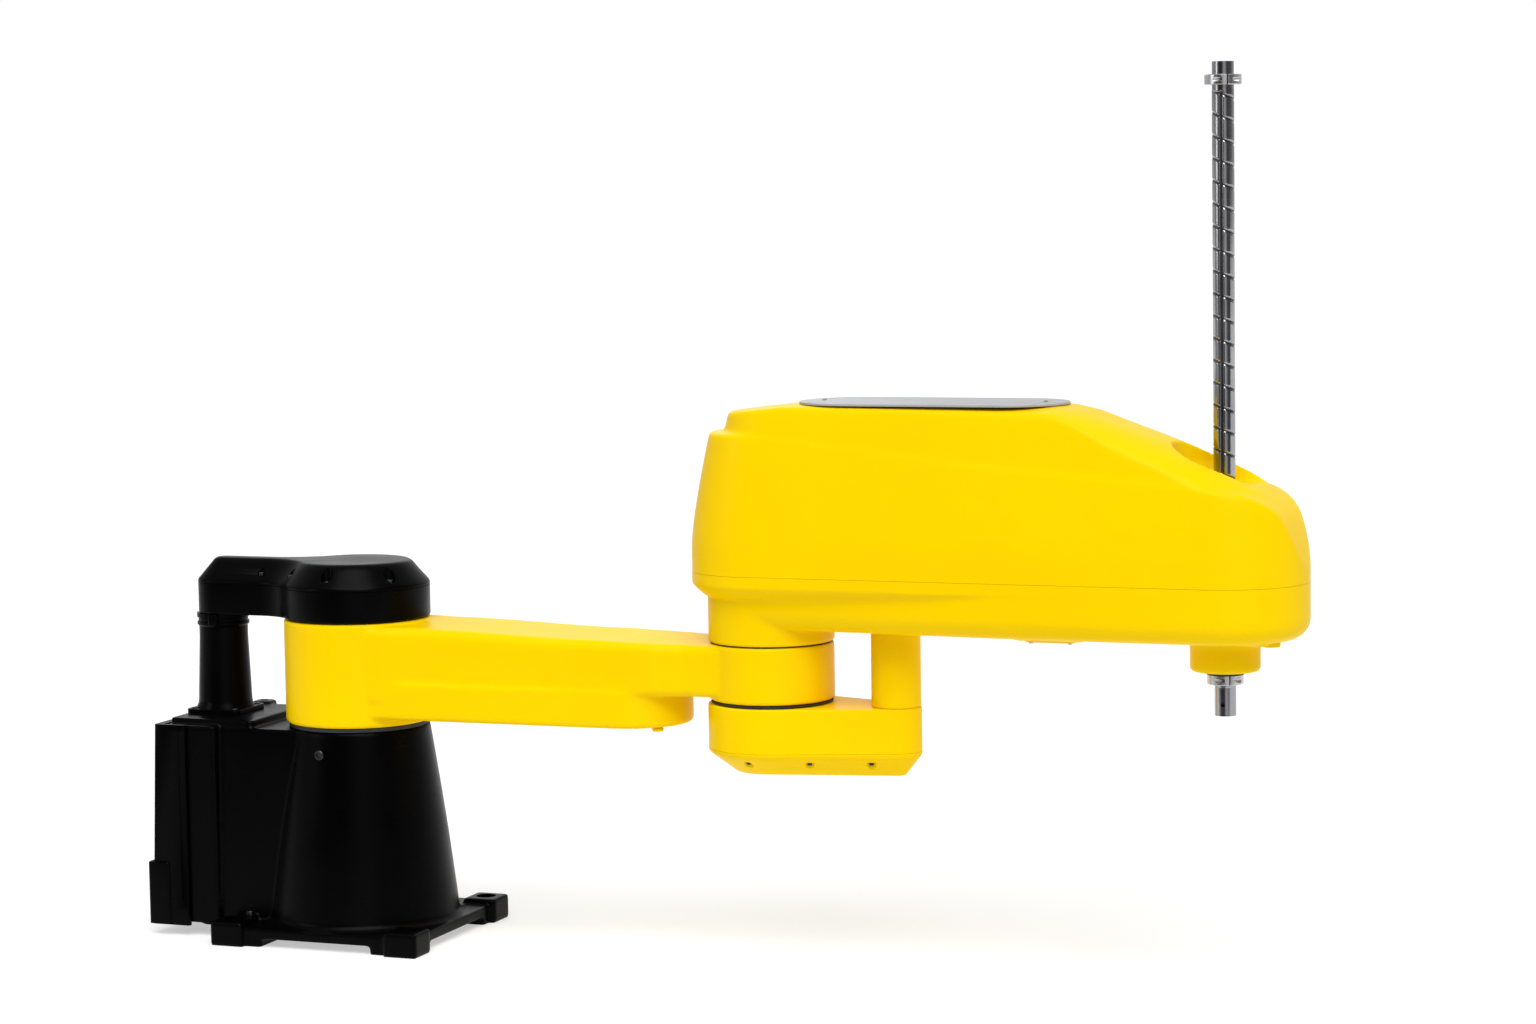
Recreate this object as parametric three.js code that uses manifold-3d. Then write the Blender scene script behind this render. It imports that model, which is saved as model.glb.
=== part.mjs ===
// SCARA robot arm: black base with a cable duct over joint 1, two arms, and a ball-screw-spline quill.
// Millimetres, +Z up. The origin is on the joint 1 axis at the mounting plane, and both arms lie along +X.

import * as THREE from 'three';
import { mergeVertices } from 'three/addons/utils/BufferGeometryUtils.js';
import Module from 'manifold-3d';

const wasm = await Module();
wasm.setup();

// ---------------------------------------------------------------- driving dimensions
const ARM_1 = 550;                  // joint 1 axis to joint 2 axis
const ARM_2 = 550;                  // joint 2 axis to the quill axis
const J2_X = ARM_1;
const J3_X = ARM_1 + ARM_2;
const GAP = 0.3;                    // between pieces that touch on the real arm
const ARC = 24;                     // segments in a full circle

const HUB_1 = { r: 91, bottom: 268, top: 396, bore: 62 };
const HUB_2 = { r: 74.5, bottom: 314.5, top: 382.5, bore: 56 };
const BEAM = { half: 70, neck: 58, bottom: 280, noseX: 372, noseR: 71, under: 320 };
const TOWER = { topR: 89, footR: 119, top: 262, foot: 28, bore: 74 };
const BOX = { half: 72, top: 271, front: -110, rear: -228 };
const FLANGE = { half: 86, top: 264, bottom: 16, front: -158 };
const FOOT = { x0: -145, x1: 136, half: 134, ear: 44, earTop: 30, proud: 8, plateTop: 23, arch: 10 };
const POST_1 = { x: -188.8, r: 30, footR: 34 };
const CAP = { tailX: -183.8, tailR: 34.5, blend: 60, bottom: 397, crease: 435, top: 467, chamfer: 26, wall: 4 };
const POST_2 = { x: J2_X + 155.5, r: 29.3 };
const ELBOW = { r: 76.5, top: 310.5, crease: 258, bottom: 229, chamfer: 24, wall: 4 };
const COVER = { rearR: 93, frontR: 96, base: 468, top: 666, wall: 4 };
const LEAN = { from: 500, height: 145, depth: 27, power: 1.3 };   // how the cover's walls come in
const PLATE = { x0: 661, x1: 851, half: 67, screws: [621, 891] };
const CASTING_2 = { neckR: 75, neckBottom: 384, under: 403, floor: 411, rim: 452, wall: 6 };
const BOSS = { r: 40, bottom: 366, bore: 29.5 };
const QUILL = { r: 12.4, bottom: 315, top: 1051, nutBore: 12.9, collarR: 21 };
const POCKET = { x: J3_X - 20, r: 40, floor: 578 };
const DRIVE_3 = { x: 958, motorR: 20, drivenR: 32, low: 498, high: 512 };
const DRIVE_4 = { x: 828, motorR: 18, drivenR: 38, low: 433, high: 445 };

// ---------------------------------------------------------------- finishes
const YELLOW = { color: 0xf2c200, roughness: 0.35, metalness: 0.0 };
const BLACK = { color: 0x141416, roughness: 0.45, metalness: 0.0 };
const GREY = { color: 0xb9bcc0, roughness: 0.4, metalness: 0.1 };
const STEEL = { color: 0xa9abae, roughness: 0.25, metalness: 1.0 };
const DARK_STEEL = { color: 0x3a3a3c, roughness: 0.4, metalness: 0.8 };
const ALUMINIUM = { color: 0xc8c9cb, roughness: 0.4, metalness: 0.9 };
const RUBBER = { color: 0x1b1b1b, roughness: 0.8, metalness: 0.0 };
const MOTOR_BLACK = { color: 0x232427, roughness: 0.5, metalness: 0.2 };

// ---------------------------------------------------------------- geometry helpers
const scara = new THREE.Group();

function part(name, geometry, finish) {
  const mesh = new THREE.Mesh(geometry, new THREE.MeshStandardMaterial(finish));
  mesh.name = name;
  scara.add(mesh);
  return mesh;
}

function toManifold(geometry) {
  const bare = geometry.clone();
  bare.deleteAttribute('normal');
  bare.deleteAttribute('uv');
  const merged = mergeVertices(bare, 1e-4);
  const vertProperties = new Float32Array(merged.attributes.position.array);
  const triVerts = new Uint32Array(merged.index.array);
  return new wasm.Manifold(new wasm.Mesh({ numProp: 3, vertProperties, triVerts }));
}

function toGeometry(manifold) {
  const mesh = manifold.getMesh();
  const geometry = new THREE.BufferGeometry();
  geometry.setAttribute('position', new THREE.BufferAttribute(mesh.vertProperties, 3));
  geometry.setIndex(new THREE.BufferAttribute(mesh.triVerts, 1));
  geometry.computeVertexNormals();
  return geometry;
}

const join = (first, ...rest) =>
  toGeometry(rest.reduce((sum, piece) => sum.add(toManifold(piece)), toManifold(first)));
const cut = (first, ...rest) =>
  toGeometry(rest.reduce((sum, piece) => sum.subtract(toManifold(piece)), toManifold(first)));
const common = (a, b) => toGeometry(toManifold(a).intersect(toManifold(b)));

function cylinder(x, y, r, z0, z1, segments = ARC) {
  const geometry = new THREE.CylinderGeometry(r, r, z1 - z0, segments);
  return geometry.rotateX(Math.PI / 2).translate(x, y, (z0 + z1) / 2);
}

function box(x0, x1, y0, y1, z0, z1) {
  const geometry = new THREE.BoxGeometry(x1 - x0, y1 - y0, z1 - z0);
  return geometry.translate((x0 + x1) / 2, (y0 + y1) / 2, (z0 + z1) / 2);
}

const across = (x0, x1, half, z0, z1) => box(x0, x1, -half, half, z0, z1);

// A body turned about a vertical axis at (x, y), from [radius, height] pairs going up the outside.
function turned(x, y, profile, segments = ARC) {
  const points = profile.map(([r, z]) => new THREE.Vector2(r, z));
  return new THREE.LatheGeometry(points, segments).rotateX(Math.PI / 2).translate(x, y, 0);
}

// A ring about a vertical axis: a closed rectangular section.
const ring = (x, y, inner, outer, z0, z1, segments = ARC) =>
  turned(x, y, [[inner, z0], [outer, z0], [outer, z1], [inner, z1], [inner, z0]], segments);

function arc(cx, cy, r, from, to, steps) {
  return Array.from({ length: steps + 1 }, (_, i) => {
    const angle = from + ((to - from) * i) / steps;
    return new THREE.Vector2(cx + r * Math.cos(angle), cy + r * Math.sin(angle));
  });
}

// Outline round two circles on the X axis, joined by their outer tangents.
function capsule(xa, ra, xb, rb, steps = ARC / 2) {
  const tangent = Math.acos((ra - rb) / (xb - xa));
  return [
    ...arc(xb, 0, rb, -tangent, tangent, steps),
    ...arc(xa, 0, ra, tangent, 2 * Math.PI - tangent, steps),
  ];
}

// Outline of a round head at the origin and a narrow round-ended tail on -X, with hollow blends between.
function keyhole(headR, tailR, tailX, blend) {
  const cy = tailR + blend;
  const cx = -Math.sqrt((headR + blend) ** 2 - cy ** 2);
  const turn = Math.atan2(cy, cx);
  return [
    ...arc(0, 0, headR, -turn, turn, 18),
    ...arc(cx, cy, blend, turn - Math.PI, -Math.PI / 2, 4).slice(1),
    ...arc(tailX, 0, tailR, Math.PI / 2, 1.5 * Math.PI, 8),
    ...arc(cx, -cy, blend, Math.PI / 2, Math.PI - turn, 4).slice(0, -1),
  ];
}

// A closed skin through outlines of equal point count, given as [outline, height] from the bottom up.
function loft(...levels) {
  const count = levels[0][0].length;
  const position = levels.flatMap(([outline, z]) => outline.flatMap((p) => [p.x, p.y, z]));
  const index = [];
  for (let level = 0; level < levels.length - 1; level++) {
    for (let i = 0; i < count; i++) {
      const a = level * count + i;
      const b = level * count + ((i + 1) % count);
      index.push(a, b, b + count, a, b + count, a + count);
    }
  }
  const last = (levels.length - 1) * count;
  for (const [a, b, c] of THREE.ShapeUtils.triangulateShape(levels[0][0], [])) {
    index.push(c, b, a);
  }
  for (const [a, b, c] of THREE.ShapeUtils.triangulateShape(levels.at(-1)[0], [])) {
    index.push(last + a, last + b, last + c);
  }
  const geometry = new THREE.BufferGeometry();
  geometry.setAttribute('position', new THREE.Float32BufferAttribute(position, 3));
  geometry.setIndex(index);
  return geometry;
}

const prism = (outline, z0, z1) => loft([outline, z0], [outline, z1]);

// A side view outline of [x, z] points, extruded across Y.
function slab(points, half) {
  const shape = new THREE.Shape(points.map(([x, z]) => new THREE.Vector2(x, z)));
  const geometry = new THREE.ExtrudeGeometry(shape, { depth: 2 * half, bevelEnabled: false });
  return geometry.rotateX(Math.PI / 2).translate(0, half, 0);
}

// The outline mirrored in the X axis to close it, from points along +Y going towards -X.
function mirrored(points) {
  const upper = points.map(([x, y]) => new THREE.Vector2(x, y));
  const lower = points.map(([x, y]) => new THREE.Vector2(x, -y)).reverse();
  return [...upper, ...lower];
}

function cable(points, r) {
  const path = new THREE.CatmullRomCurve3(points.map((p) => new THREE.Vector3(...p)));
  const section = new THREE.Shape(arc(0, 0, r, 0, 2 * Math.PI, 8).slice(0, -1));
  return new THREE.ExtrudeGeometry(section, { steps: 14, extrudePath: path });
}

// ---------------------------------------------------------------- base
function baseCasting() {
  const edge = FOOT.proud;
  const plateOutline = [FOOT.x0 + edge, FOOT.x1 - edge, FOOT.half - edge];
  const feet = [];
  const boltHoles = [];
  for (const side of [-1, 1]) {
    for (const [outer, inward] of [[FOOT.x0, 1], [FOOT.x1, -1]]) {
      const inner = outer + inward * FOOT.ear;
      const legOuter = outer + inward * edge;
      const legInner = outer + inward * 66;
      const ys = [side * FOOT.half, side * (FOOT.half - FOOT.ear)].sort((a, b) => a - b);
      const legYs = [side * (FOOT.half - edge), side * (FOOT.half - 60)].sort((a, b) => a - b);
      const xs = [outer, inner].sort((a, b) => a - b);
      const legXs = [legOuter, legInner].sort((a, b) => a - b);
      feet.push(box(...xs, ...ys, 0, FOOT.earTop));
      feet.push(box(...legXs, ...legYs, 0, FOOT.plateTop - 2));
      const holeX = outer + (inward * FOOT.ear) / 2;
      boltHoles.push(cylinder(holeX, side * (FOOT.half - FOOT.ear / 2), 7, -1, 40, 16));
    }
  }
  const rearSides = (half) => mirrored([[-20, half], [BOX.rear, half]]);
  const tower = turned(0, 0, [
    [0, 12], [TOWER.footR + 4, 12], [TOWER.footR + 4, FOOT.plateTop], [TOWER.footR, TOWER.foot],
    [TOWER.topR, TOWER.top], [0, TOWER.top],
  ], 36);
  const rearBox = loft([rearSides(BOX.half + 9), FLANGE.bottom], [rearSides(BOX.half + 2), TOWER.top]);
  const seat = mirrored([[BOX.front, BOX.half], [BOX.rear, BOX.half]]);
  return cut(
    join(
      across(plateOutline[0], plateOutline[1], plateOutline[2], FOOT.arch, FOOT.plateTop),
      ...feet,
      cylinder(0, 0, 50, 0, 14),
      tower,
      rearBox,
      prism(seat, TOWER.top - 20, BOX.top),
      across(BOX.rear, FLANGE.front, FLANGE.half, FLANGE.bottom, FLANGE.top),
      cylinder(-113, -88, 8, FOOT.plateTop - 2, 31, 16),
      box(-181, -157, -86, -66, FLANGE.bottom, 45),
      box(-186, -160, 58, 84, FLANGE.top - 2, 275),
    ),
    cylinder(0, 0, TOWER.bore, 60, 300),
    across(BOX.rear - 5, -60, BOX.half - 10, 40, 250),
    cylinder(POST_1.x, 0, 22, 240, 300),
    cylinder(-173, 71, 6, 255, 280, 12),
    ...boltHoles,
  );
}

function ductPost() {
  const flange = across(POST_1.x - 37, POST_1.x + 37, 37, BOX.top + GAP, BOX.top + 6);
  const post = turned(POST_1.x, 0, [
    [0, BOX.top + GAP], [POST_1.footR, BOX.top + GAP], [POST_1.r, 380], [POST_1.r + 2.5, 384],
    [POST_1.r + 2.5, CAP.bottom - GAP], [0, CAP.bottom - GAP],
  ], 24);
  return cut(join(flange, post), cylinder(POST_1.x, 0, 21, 260, 410, 24));
}

const capOutline = (inset) =>
  keyhole(HUB_1.r - inset, CAP.tailR - inset, CAP.tailX, CAP.blend + inset);
const CAP_SCREWS = [[0, -77], [67, -42], [67, 42], [0, 77]];

function ductHousing() {
  return cut(
    prism(capOutline(0), CAP.bottom, CAP.crease),
    prism(capOutline(CAP.wall), CAP.bottom + CAP.wall, CAP.crease + 1),
    cylinder(0, 0, 48, CAP.bottom - 1, CAP.bottom + 10),
    cylinder(POST_1.x, 0, 22, CAP.bottom - 1, CAP.bottom + 10, 24),
  );
}

function ductCover() {
  const low = CAP.crease + GAP;
  const pockets = CAP_SCREWS.map(([x, y]) => cylinder(x, y, 8, CAP.crease + 8, CAP.top, 16));
  return cut(
    loft([capOutline(0), low], [capOutline(1), low + 2], [capOutline(CAP.chamfer), CAP.top]),
    loft([capOutline(20), low - 1], [capOutline(CAP.chamfer), CAP.top - 8]),
    ...pockets,
  );
}

// The head of a socket screw, standing on a face at height z, or hanging under it when up is negative.
function screw(name, x, y, z, r, up = 1, finish = DARK_STEEL) {
  const height = 1.1 * r;
  const socket = 0.55 * r;
  const profile = [[0, 0], [r, 0], [r, height], [socket, height], [socket, 0.5 * height], [0, 0.5 * height]];
  const head = turned(0, 0, profile, 12);
  if (up < 0) {
    head.rotateX(Math.PI);
  }
  part(name, head.translate(x, y, z), finish);
}

function base() {
  part('base_casting', baseCasting(), BLACK);

  const rear = -249;
  const padFace = rear - 1;
  const coverTop = 265;
  const coverBody = loft(
    [mirrored([[-197, 92], [rear, 92]]), 13],
    [mirrored([[-197, 92], [rear + 10, 92]]), coverTop],
  );
  const connectorPad = across(padFace, rear + 12, 62, 128, 236);
  const coverInside = across(BOX.rear - GAP, -190, FLANGE.half + GAP, 10, coverTop + 5);
  part('connector_cover', cut(join(coverBody, connectorPad), coverInside), BLACK);
  const lowerCover = across(rear - 4, -222, 95, 14, 92);
  const lowerInside = across(rear - GAP, -210, 92 + GAP, 10, 100);
  part('lower_connector_cover', cut(lowerCover, lowerInside), BLACK);

  for (const [name, y, r] of [['power_connector', -30, 15], ['encoder_connector', 30, 13]]) {
    const plug = turned(0, 0, [[0, 0], [r + 3, 0], [r + 3, 4], [r, 4], [r, 12], [r - 4, 12], [r - 4, 5], [0, 5]], 16);
    part(name, plug.rotateY(-Math.PI / 2).translate(padFace - GAP, y, 152), DARK_STEEL);
  }
  const ports = [-14, 14].map((y) =>
    turned(0, 0, [[0, 8], [6, 8], [6, 18], [3.4, 18], [3.2, 11], [0, 11]], 16).translate(0, y, 0));
  const portBlock = join(box(-11, 11, -30, 30, 0, 9), ...ports).rotateY(-Math.PI / 2);
  part('air_port_block', portBlock.translate(padFace - GAP, 0, 205), STEEL);

  part('duct_post', ductPost(), BLACK);
  part('duct_housing', ductHousing(), BLACK);
  part('duct_cover', ductCover(), BLACK);
  CAP_SCREWS.forEach(([x, y], i) =>
    screw(`duct_cover_screw_${i + 1}`, x, y, CAP.crease + 8 + GAP, 4.2));

  const motorBody = across(-43, 43, 43, 62, 170);
  part('j1_motor', join(motorBody, cylinder(0, 0, 48, 169, 190), cylinder(0, 0, 9, 180, 218, 16)), MOTOR_BLACK);
  const caseBody = ring(0, 0, 46, TOWER.bore - GAP, 222, TOWER.top - 1);
  part('j1_reducer_case', caseBody, ALUMINIUM);

  const plug = turned(0, 0, [[0, 0], [6, 0], [6, 3], [3.4, 3], [3, 1.2], [0, 1.2]], 16);
  part('tower_plug', plug.rotateX(Math.PI / 2).translate(-7.4, -93.9, 236), DARK_STEEL);
  screw('ground_screw', -113, -88, 31 + GAP, 4.5, 1, STEEL);

  part('base_harness', cable([
    [POST_1.x, 0, 150], [POST_1.x, 0, 300], [POST_1.x, 0, 385], [POST_1.x + 22, 0, 414],
    [-90, 0, 420], [-26, 0, 418], [-8, 0, 408],
  ], 8), RUBBER);
}

// ---------------------------------------------------------------- first arm
function linkOneCasting() {
  const upper = mirrored([
    [J2_X, 68], [500, 61], [470, BEAM.neck], [440, BEAM.neck + 1], [400, 64], [355, 69],
    [150, BEAM.half], [90, 73], [50, 80], [0, 84],
  ]);
  const lower = capsule(0, BEAM.half + 6, BEAM.noseX, BEAM.noseR);
  const side = [
    [0, BEAM.bottom], [BEAM.noseX + BEAM.noseR + 1, BEAM.bottom], [BEAM.noseX + BEAM.noseR + 1, BEAM.under],
    [J2_X, BEAM.under], [J2_X, 381], [470, 381.5],
    [100, 392], [0, 394],
  ];
  const beam = join(
    common(prism(upper, BEAM.under, 400), slab(side, 100)),
    common(prism(lower, 270, BEAM.under + 1), slab(side, 100)),
  );
  return cut(
    join(
      beam,
      cylinder(0, 0, HUB_1.r, HUB_1.bottom, HUB_1.top, 36),
      cylinder(J2_X, 0, HUB_2.r, HUB_2.bottom, HUB_2.top, 36),
    ),
    cylinder(0, 0, HUB_1.bore, HUB_1.bottom - 1, 380),
    cylinder(0, 0, 46, 370, HUB_1.top + 1),
    cylinder(J2_X, 0, HUB_2.bore, HUB_2.bottom - 1, 372),
    cylinder(J2_X, 0, 42, 360, HUB_2.top + 1),
    across(20, 400, 40, 304, 362),
    across(395, J2_X - 20, 40, BEAM.under + 10, 362),
  );
}

function linkOne() {
  part('link1_casting', linkOneCasting(), YELLOW);
  part('j1_output_flange', turned(0, 0, [
    [20, 226], [44.5, 226], [44.5, 272], [61.5, 272], [61.5, 286], [20, 286], [20, 226],
  ]), STEEL);
  part('j1_cable_ring', ring(0, 0, 38, 45.6, 382, 404), ALUMINIUM);
  part('link1_plug', turned(0, 0, [
    [0, BEAM.bottom - 6], [7, BEAM.bottom - 6], [8, BEAM.bottom - 4], [8, BEAM.bottom - 1.6], [0, BEAM.bottom - 1.6],
  ], 16).translate(416, -35, 0), YELLOW);
  part('j2_output_flange', turned(J2_X, 0, [
    [16, 350], [55.5, 350], [55.5, 362], [39, 362], [39, 412], [16, 412], [16, 350],
  ]), STEEL);
}

// ---------------------------------------------------------------- second arm
function armCasting() {
  const wall = CASTING_2.wall;
  const rim = capsule(J2_X, COVER.rearR, J3_X, COVER.frontR);
  const body = (inset) => capsule(J2_X, CASTING_2.neckR, J3_X, COVER.frontR - inset);
  const lower = loft(
    [body(22), CASTING_2.under], [body(10), CASTING_2.under + 8], [body(2), CASTING_2.under + 24],
    [body(0), COVER.base],
  );
  const rimBody = loft([capsule(J2_X, 82, J3_X, COVER.frontR - 6), CASTING_2.rim - 10],
    [rim, CASTING_2.rim], [rim, COVER.base]);
  return cut(
    join(
      lower,
      rimBody,
      cylinder(J2_X, 0, CASTING_2.neckR, CASTING_2.neckBottom, CASTING_2.under + 10, 36),
      turned(J3_X, 0, [[0, BOSS.bottom], [BOSS.r - 3, BOSS.bottom], [BOSS.r, BOSS.bottom + 3],
        [BOSS.r, 396], [BOSS.r + 5, CASTING_2.under + 2], [0, CASTING_2.under + 2]]),
    ),
    prism(capsule(J2_X, CASTING_2.neckR - wall, J3_X, COVER.frontR - 24), CASTING_2.floor, COVER.base + 1),
    cylinder(J2_X, 0, 68, 386, 420),
    cylinder(J2_X, 0, 45, 380, 420),
    cylinder(J3_X, 0, BOSS.bore, 360, 420),
    cylinder(POST_2.x, 0, 22, 400, 415, 24),
    cylinder(1160, -30, 11.2, 400, 415, 24),
    across(890, 934, 34, 400, 415),
  );
}

// Outer skin of the cover, or the space inside it when inset by the wall. The sides lean in up to a shoulder
// that falls towards the quill, and a narrower crown stands on it.
function coverLean(z) {
  const draft = LEAN.depth * (Math.max(0, z - LEAN.from) / LEAN.height) ** LEAN.power;
  return { draft, side: Math.min(9.5, 0.36 * draft) };
}

function coverBody(inset) {
  const low = inset ? COVER.base - 1 : COVER.base + GAP;
  const front = J3_X + COVER.frontR;
  const nose = [[1173, 549 - inset], [1188, 516 - inset], [front, 485], [front, low - 1]];
  const wallAt = (z) => {
    const { draft, side } = coverLean(z);
    return capsule(J2_X + side, COVER.rearR - draft + side - inset, J3_X, COVER.frontR - draft + side - inset);
  };
  const crownAt = (z) => {
    const { draft, side } = coverLean(z);
    const half = COVER.rearR - draft + side - 1.3;
    return capsule(J2_X - 50 + half, half - inset, J3_X, COVER.frontR - draft + side - 1.3 - inset);
  };
  const rings = (outlineAt, heights) => loft(...heights.map((z) => [outlineAt(z), z]));
  const walls = common(
    rings(wallAt, [low, LEAN.from, 535, 570, 605, 640]),
    slab([[440, low - 1], [440, 634 - inset], [J2_X, 632 - inset], [820, 601 - inset], [1115, 577 - inset],
      [1150, 568 - inset], ...nose], 110),
  );
  const crown = common(
    rings(crownAt, [low, LEAN.from, 570, 640, 675]),
    slab([[440, low - 1], [440, 655 - inset], [500, 655 - inset], [593, COVER.top - inset],
      [925, COVER.top - inset], [1030, 626 - inset], [1150, 569 - inset], ...nose], 110),
  );
  return join(walls, crown);
}

function pocket(grow) {
  const slot = [...arc(POCKET.x, 0, POCKET.r + grow, Math.PI / 2, 1.5 * Math.PI, 16),
    new THREE.Vector2(J3_X + 130, -POCKET.r - grow), new THREE.Vector2(J3_X + 130, POCKET.r + grow)];
  return prism(slot, POCKET.floor - grow, 700);
}

function armCover() {
  const inside = cut(coverBody(COVER.wall), pocket(COVER.wall));
  return cut(coverBody(0), inside, pocket(0), cylinder(J3_X, 0, 16, 560, 600, 24));
}

function bracket(xa, xb, half, leg, top, hole, holeX) {
  const plate = 7;
  const outer = across(xa, xb, half, CASTING_2.floor + GAP, top);
  const inner = across(xa - 1, xb + 1, half - leg, CASTING_2.floor - 1, top - plate);
  return cut(outer, inner, cylinder(holeX, 0, hole, top - 20, top + 1));
}

function motor(x, half, z0, z1, shaftR, shaftEnd) {
  return join(across(x - half, x + half, half, z0, z1), cylinder(x, 0, shaftR, shaftEnd, z0 + 1, 16));
}

function pulley(x, inner, r, low, high) {
  const profile = [
    [inner, low - 3], [r + 4, low - 3], [r + 4, low - 1], [r, low - 1], [r, high + 1],
    [r + 4, high + 1], [r + 4, high + 3], [inner, high + 3], [inner, low - 3],
  ];
  return turned(x, 0, profile);
}

function belt(drive) {
  const outer = capsule(drive.x, drive.motorR + 3, J3_X, drive.drivenR + 3, 12);
  const inner = capsule(drive.x, drive.motorR + 1, J3_X, drive.drivenR + 1, 12);
  return cut(prism(outer, drive.low, drive.high), prism(inner, drive.low - 1, drive.high + 1));
}

const ELBOW_SCREWS = [[543, -62], [614, -48], [684, -29], [543, 62], [614, 48], [684, 29]];

function elbowDuct() {
  const outline = (inset) => capsule(J2_X, ELBOW.r - inset, POST_2.x, 30 - inset);
  part('elbow_duct_housing', cut(
    prism(outline(0), ELBOW.crease, ELBOW.top),
    prism(outline(ELBOW.wall), ELBOW.crease - 1, ELBOW.top - ELBOW.wall),
    cylinder(J2_X, 0, 50, ELBOW.top - 10, ELBOW.top + 1),
    cylinder(POST_2.x, 0, 22, ELBOW.top - 10, ELBOW.top + 1, 24),
  ), YELLOW);
  const high = ELBOW.crease - GAP;
  const pockets = ELBOW_SCREWS.map(([x, y]) => cylinder(x, y, 5, ELBOW.bottom, 247, 12));
  part('elbow_duct_cover', cut(
    loft([outline(ELBOW.chamfer), ELBOW.bottom], [outline(1), high - 3], [outline(0), high]),
    loft([outline(ELBOW.chamfer), ELBOW.bottom + 8], [outline(18), high + 1]),
    ...pockets,
  ), YELLOW);
  ELBOW_SCREWS.forEach(([x, y], i) => screw(`elbow_screw_${i + 1}`, x, y, 247 - GAP, 2.8, -1, STEEL));
  part('elbow_duct_post', cut(
    cylinder(POST_2.x, 0, POST_2.r, ELBOW.top + GAP, CASTING_2.under - GAP),
    cylinder(POST_2.x, 0, 22, ELBOW.top - 1, CASTING_2.under + 1, 24),
  ), YELLOW);
  part('elbow_harness', cable([
    [J2_X, 0, 300], [J2_X + 8, 0, 274], [J2_X + 40, 0, 266], [POST_2.x - 40, 0, 266],
    [POST_2.x - 8, 0, 278], [POST_2.x, 0, 310], [POST_2.x, 0, 440],
  ], 8), RUBBER);
}

function linkTwo() {
  part('arm2_casting', armCasting(), YELLOW);
  part('arm2_cover', armCover(), YELLOW);
  const plateTop = COVER.top + 3;
  part('top_plate', prism(capsule(PLATE.x0, PLATE.half, PLATE.x1, PLATE.half), COVER.top + GAP, plateTop), GREY);
  PLATE.screws.forEach((x, i) => screw(`top_plate_screw_${i + 1}`, x, 0, plateTop + GAP, 2.5, 1, STEEL));

  part('j2_reducer_case', ring(J2_X, 0, 40.5, 67.7, 389, 424), ALUMINIUM);
  part('j2_motor', join(motor(J2_X, 38, 438, 560, 8, 416), cylinder(J2_X, 0, 55, 425, 438)), MOTOR_BLACK);

  const j3Top = 524;
  const j4Top = 458;
  part('j3_motor_bracket', bracket(DRIVE_3.x - 34, DRIVE_3.x + 34, 66, 7, j3Top, 26, DRIVE_3.x), ALUMINIUM);
  part('j3_motor', motor(DRIVE_3.x, 30, j3Top + GAP, 596, 7, DRIVE_3.low), MOTOR_BLACK);
  part('j3_brake', cylinder(DRIVE_3.x, 0, 26, 596 + GAP, 618), DARK_STEEL);
  part('j4_motor_bracket', bracket(DRIVE_4.x - 34, DRIVE_4.x + 34, 60, 7, j4Top, 24, DRIVE_4.x), ALUMINIUM);
  part('j4_motor', motor(DRIVE_4.x, 30, j4Top + GAP, 540, 7, DRIVE_4.low), MOTOR_BLACK);
  part('ball_nut_support', bracket(J3_X - 38, J3_X + 38, 56, 6, 540, 28, J3_X), ALUMINIUM);
  part('j3_belt', belt(DRIVE_3), RUBBER);
  part('j4_belt', belt(DRIVE_4), RUBBER);

  part('access_cover', across(882, 942, 66, CASTING_2.under - 4, CASTING_2.under - GAP), YELLOW);
  part('boss_seal', ring(J3_X, 0, 14.5, 24, BOSS.bottom - 3, BOSS.bottom - GAP), RUBBER);
  elbowDuct();
}

// ---------------------------------------------------------------- quill and its drives
function quill() {
  part('j3_motor_pulley', pulley(DRIVE_3.x, 7.4, DRIVE_3.motorR, DRIVE_3.low, DRIVE_3.high), ALUMINIUM);
  part('j4_motor_pulley', pulley(DRIVE_4.x, 7.4, DRIVE_4.motorR, DRIVE_4.low, DRIVE_4.high), ALUMINIUM);
  part('spline_nut', ring(J3_X, 0, QUILL.nutBore, 28, 370, 456), STEEL);
  part('j4_driven_pulley', pulley(J3_X, 28.3, DRIVE_4.drivenR, DRIVE_4.low, DRIVE_4.high), ALUMINIUM);
  part('ball_nut', ring(J3_X, 0, QUILL.nutBore, 26, 468, 552), STEEL);
  part('j3_driven_pulley', pulley(J3_X, 26.3, DRIVE_3.drivenR, DRIVE_3.low, DRIVE_3.high), ALUMINIUM);

  part('quill_shaft', cylinder(J3_X, 0, QUILL.r, QUILL.bottom, QUILL.top, 24), STEEL);
  const collars = [['top_collar', QUILL.top - 26], ['bottom_collar', BOSS.bottom - 15]];
  for (const [name, z] of collars) {
    part(name, ring(J3_X, 0, QUILL.r + 0.3, QUILL.collarR, z, z + 11.5), STEEL);
  }
  part('brake_release_button', turned(1160, -30, [
    [0, 398.5], [9.5, 398.5], [10.5, 399.5], [10.5, 410], [0, 410],
  ], 24), YELLOW);
}

base();
linkOne();
linkTwo();
quill();

export default scara;
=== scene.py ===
"""Looks of the SCARA robot arm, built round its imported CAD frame.

Shapes are worked out in millimetres in the CAD frame (+X along the arms, +Z up) and scaled to metres when a
piece is made. Places come from the boxes of the CAD nodes. Each painted casting is a few overlapping solids
that are joined by a voxel remesh and smoothed, so that its junctions are soft like a real casting's, and
then cut.
"""

import math

import bmesh
import bpy
from mathutils import Matrix, Vector


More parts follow.
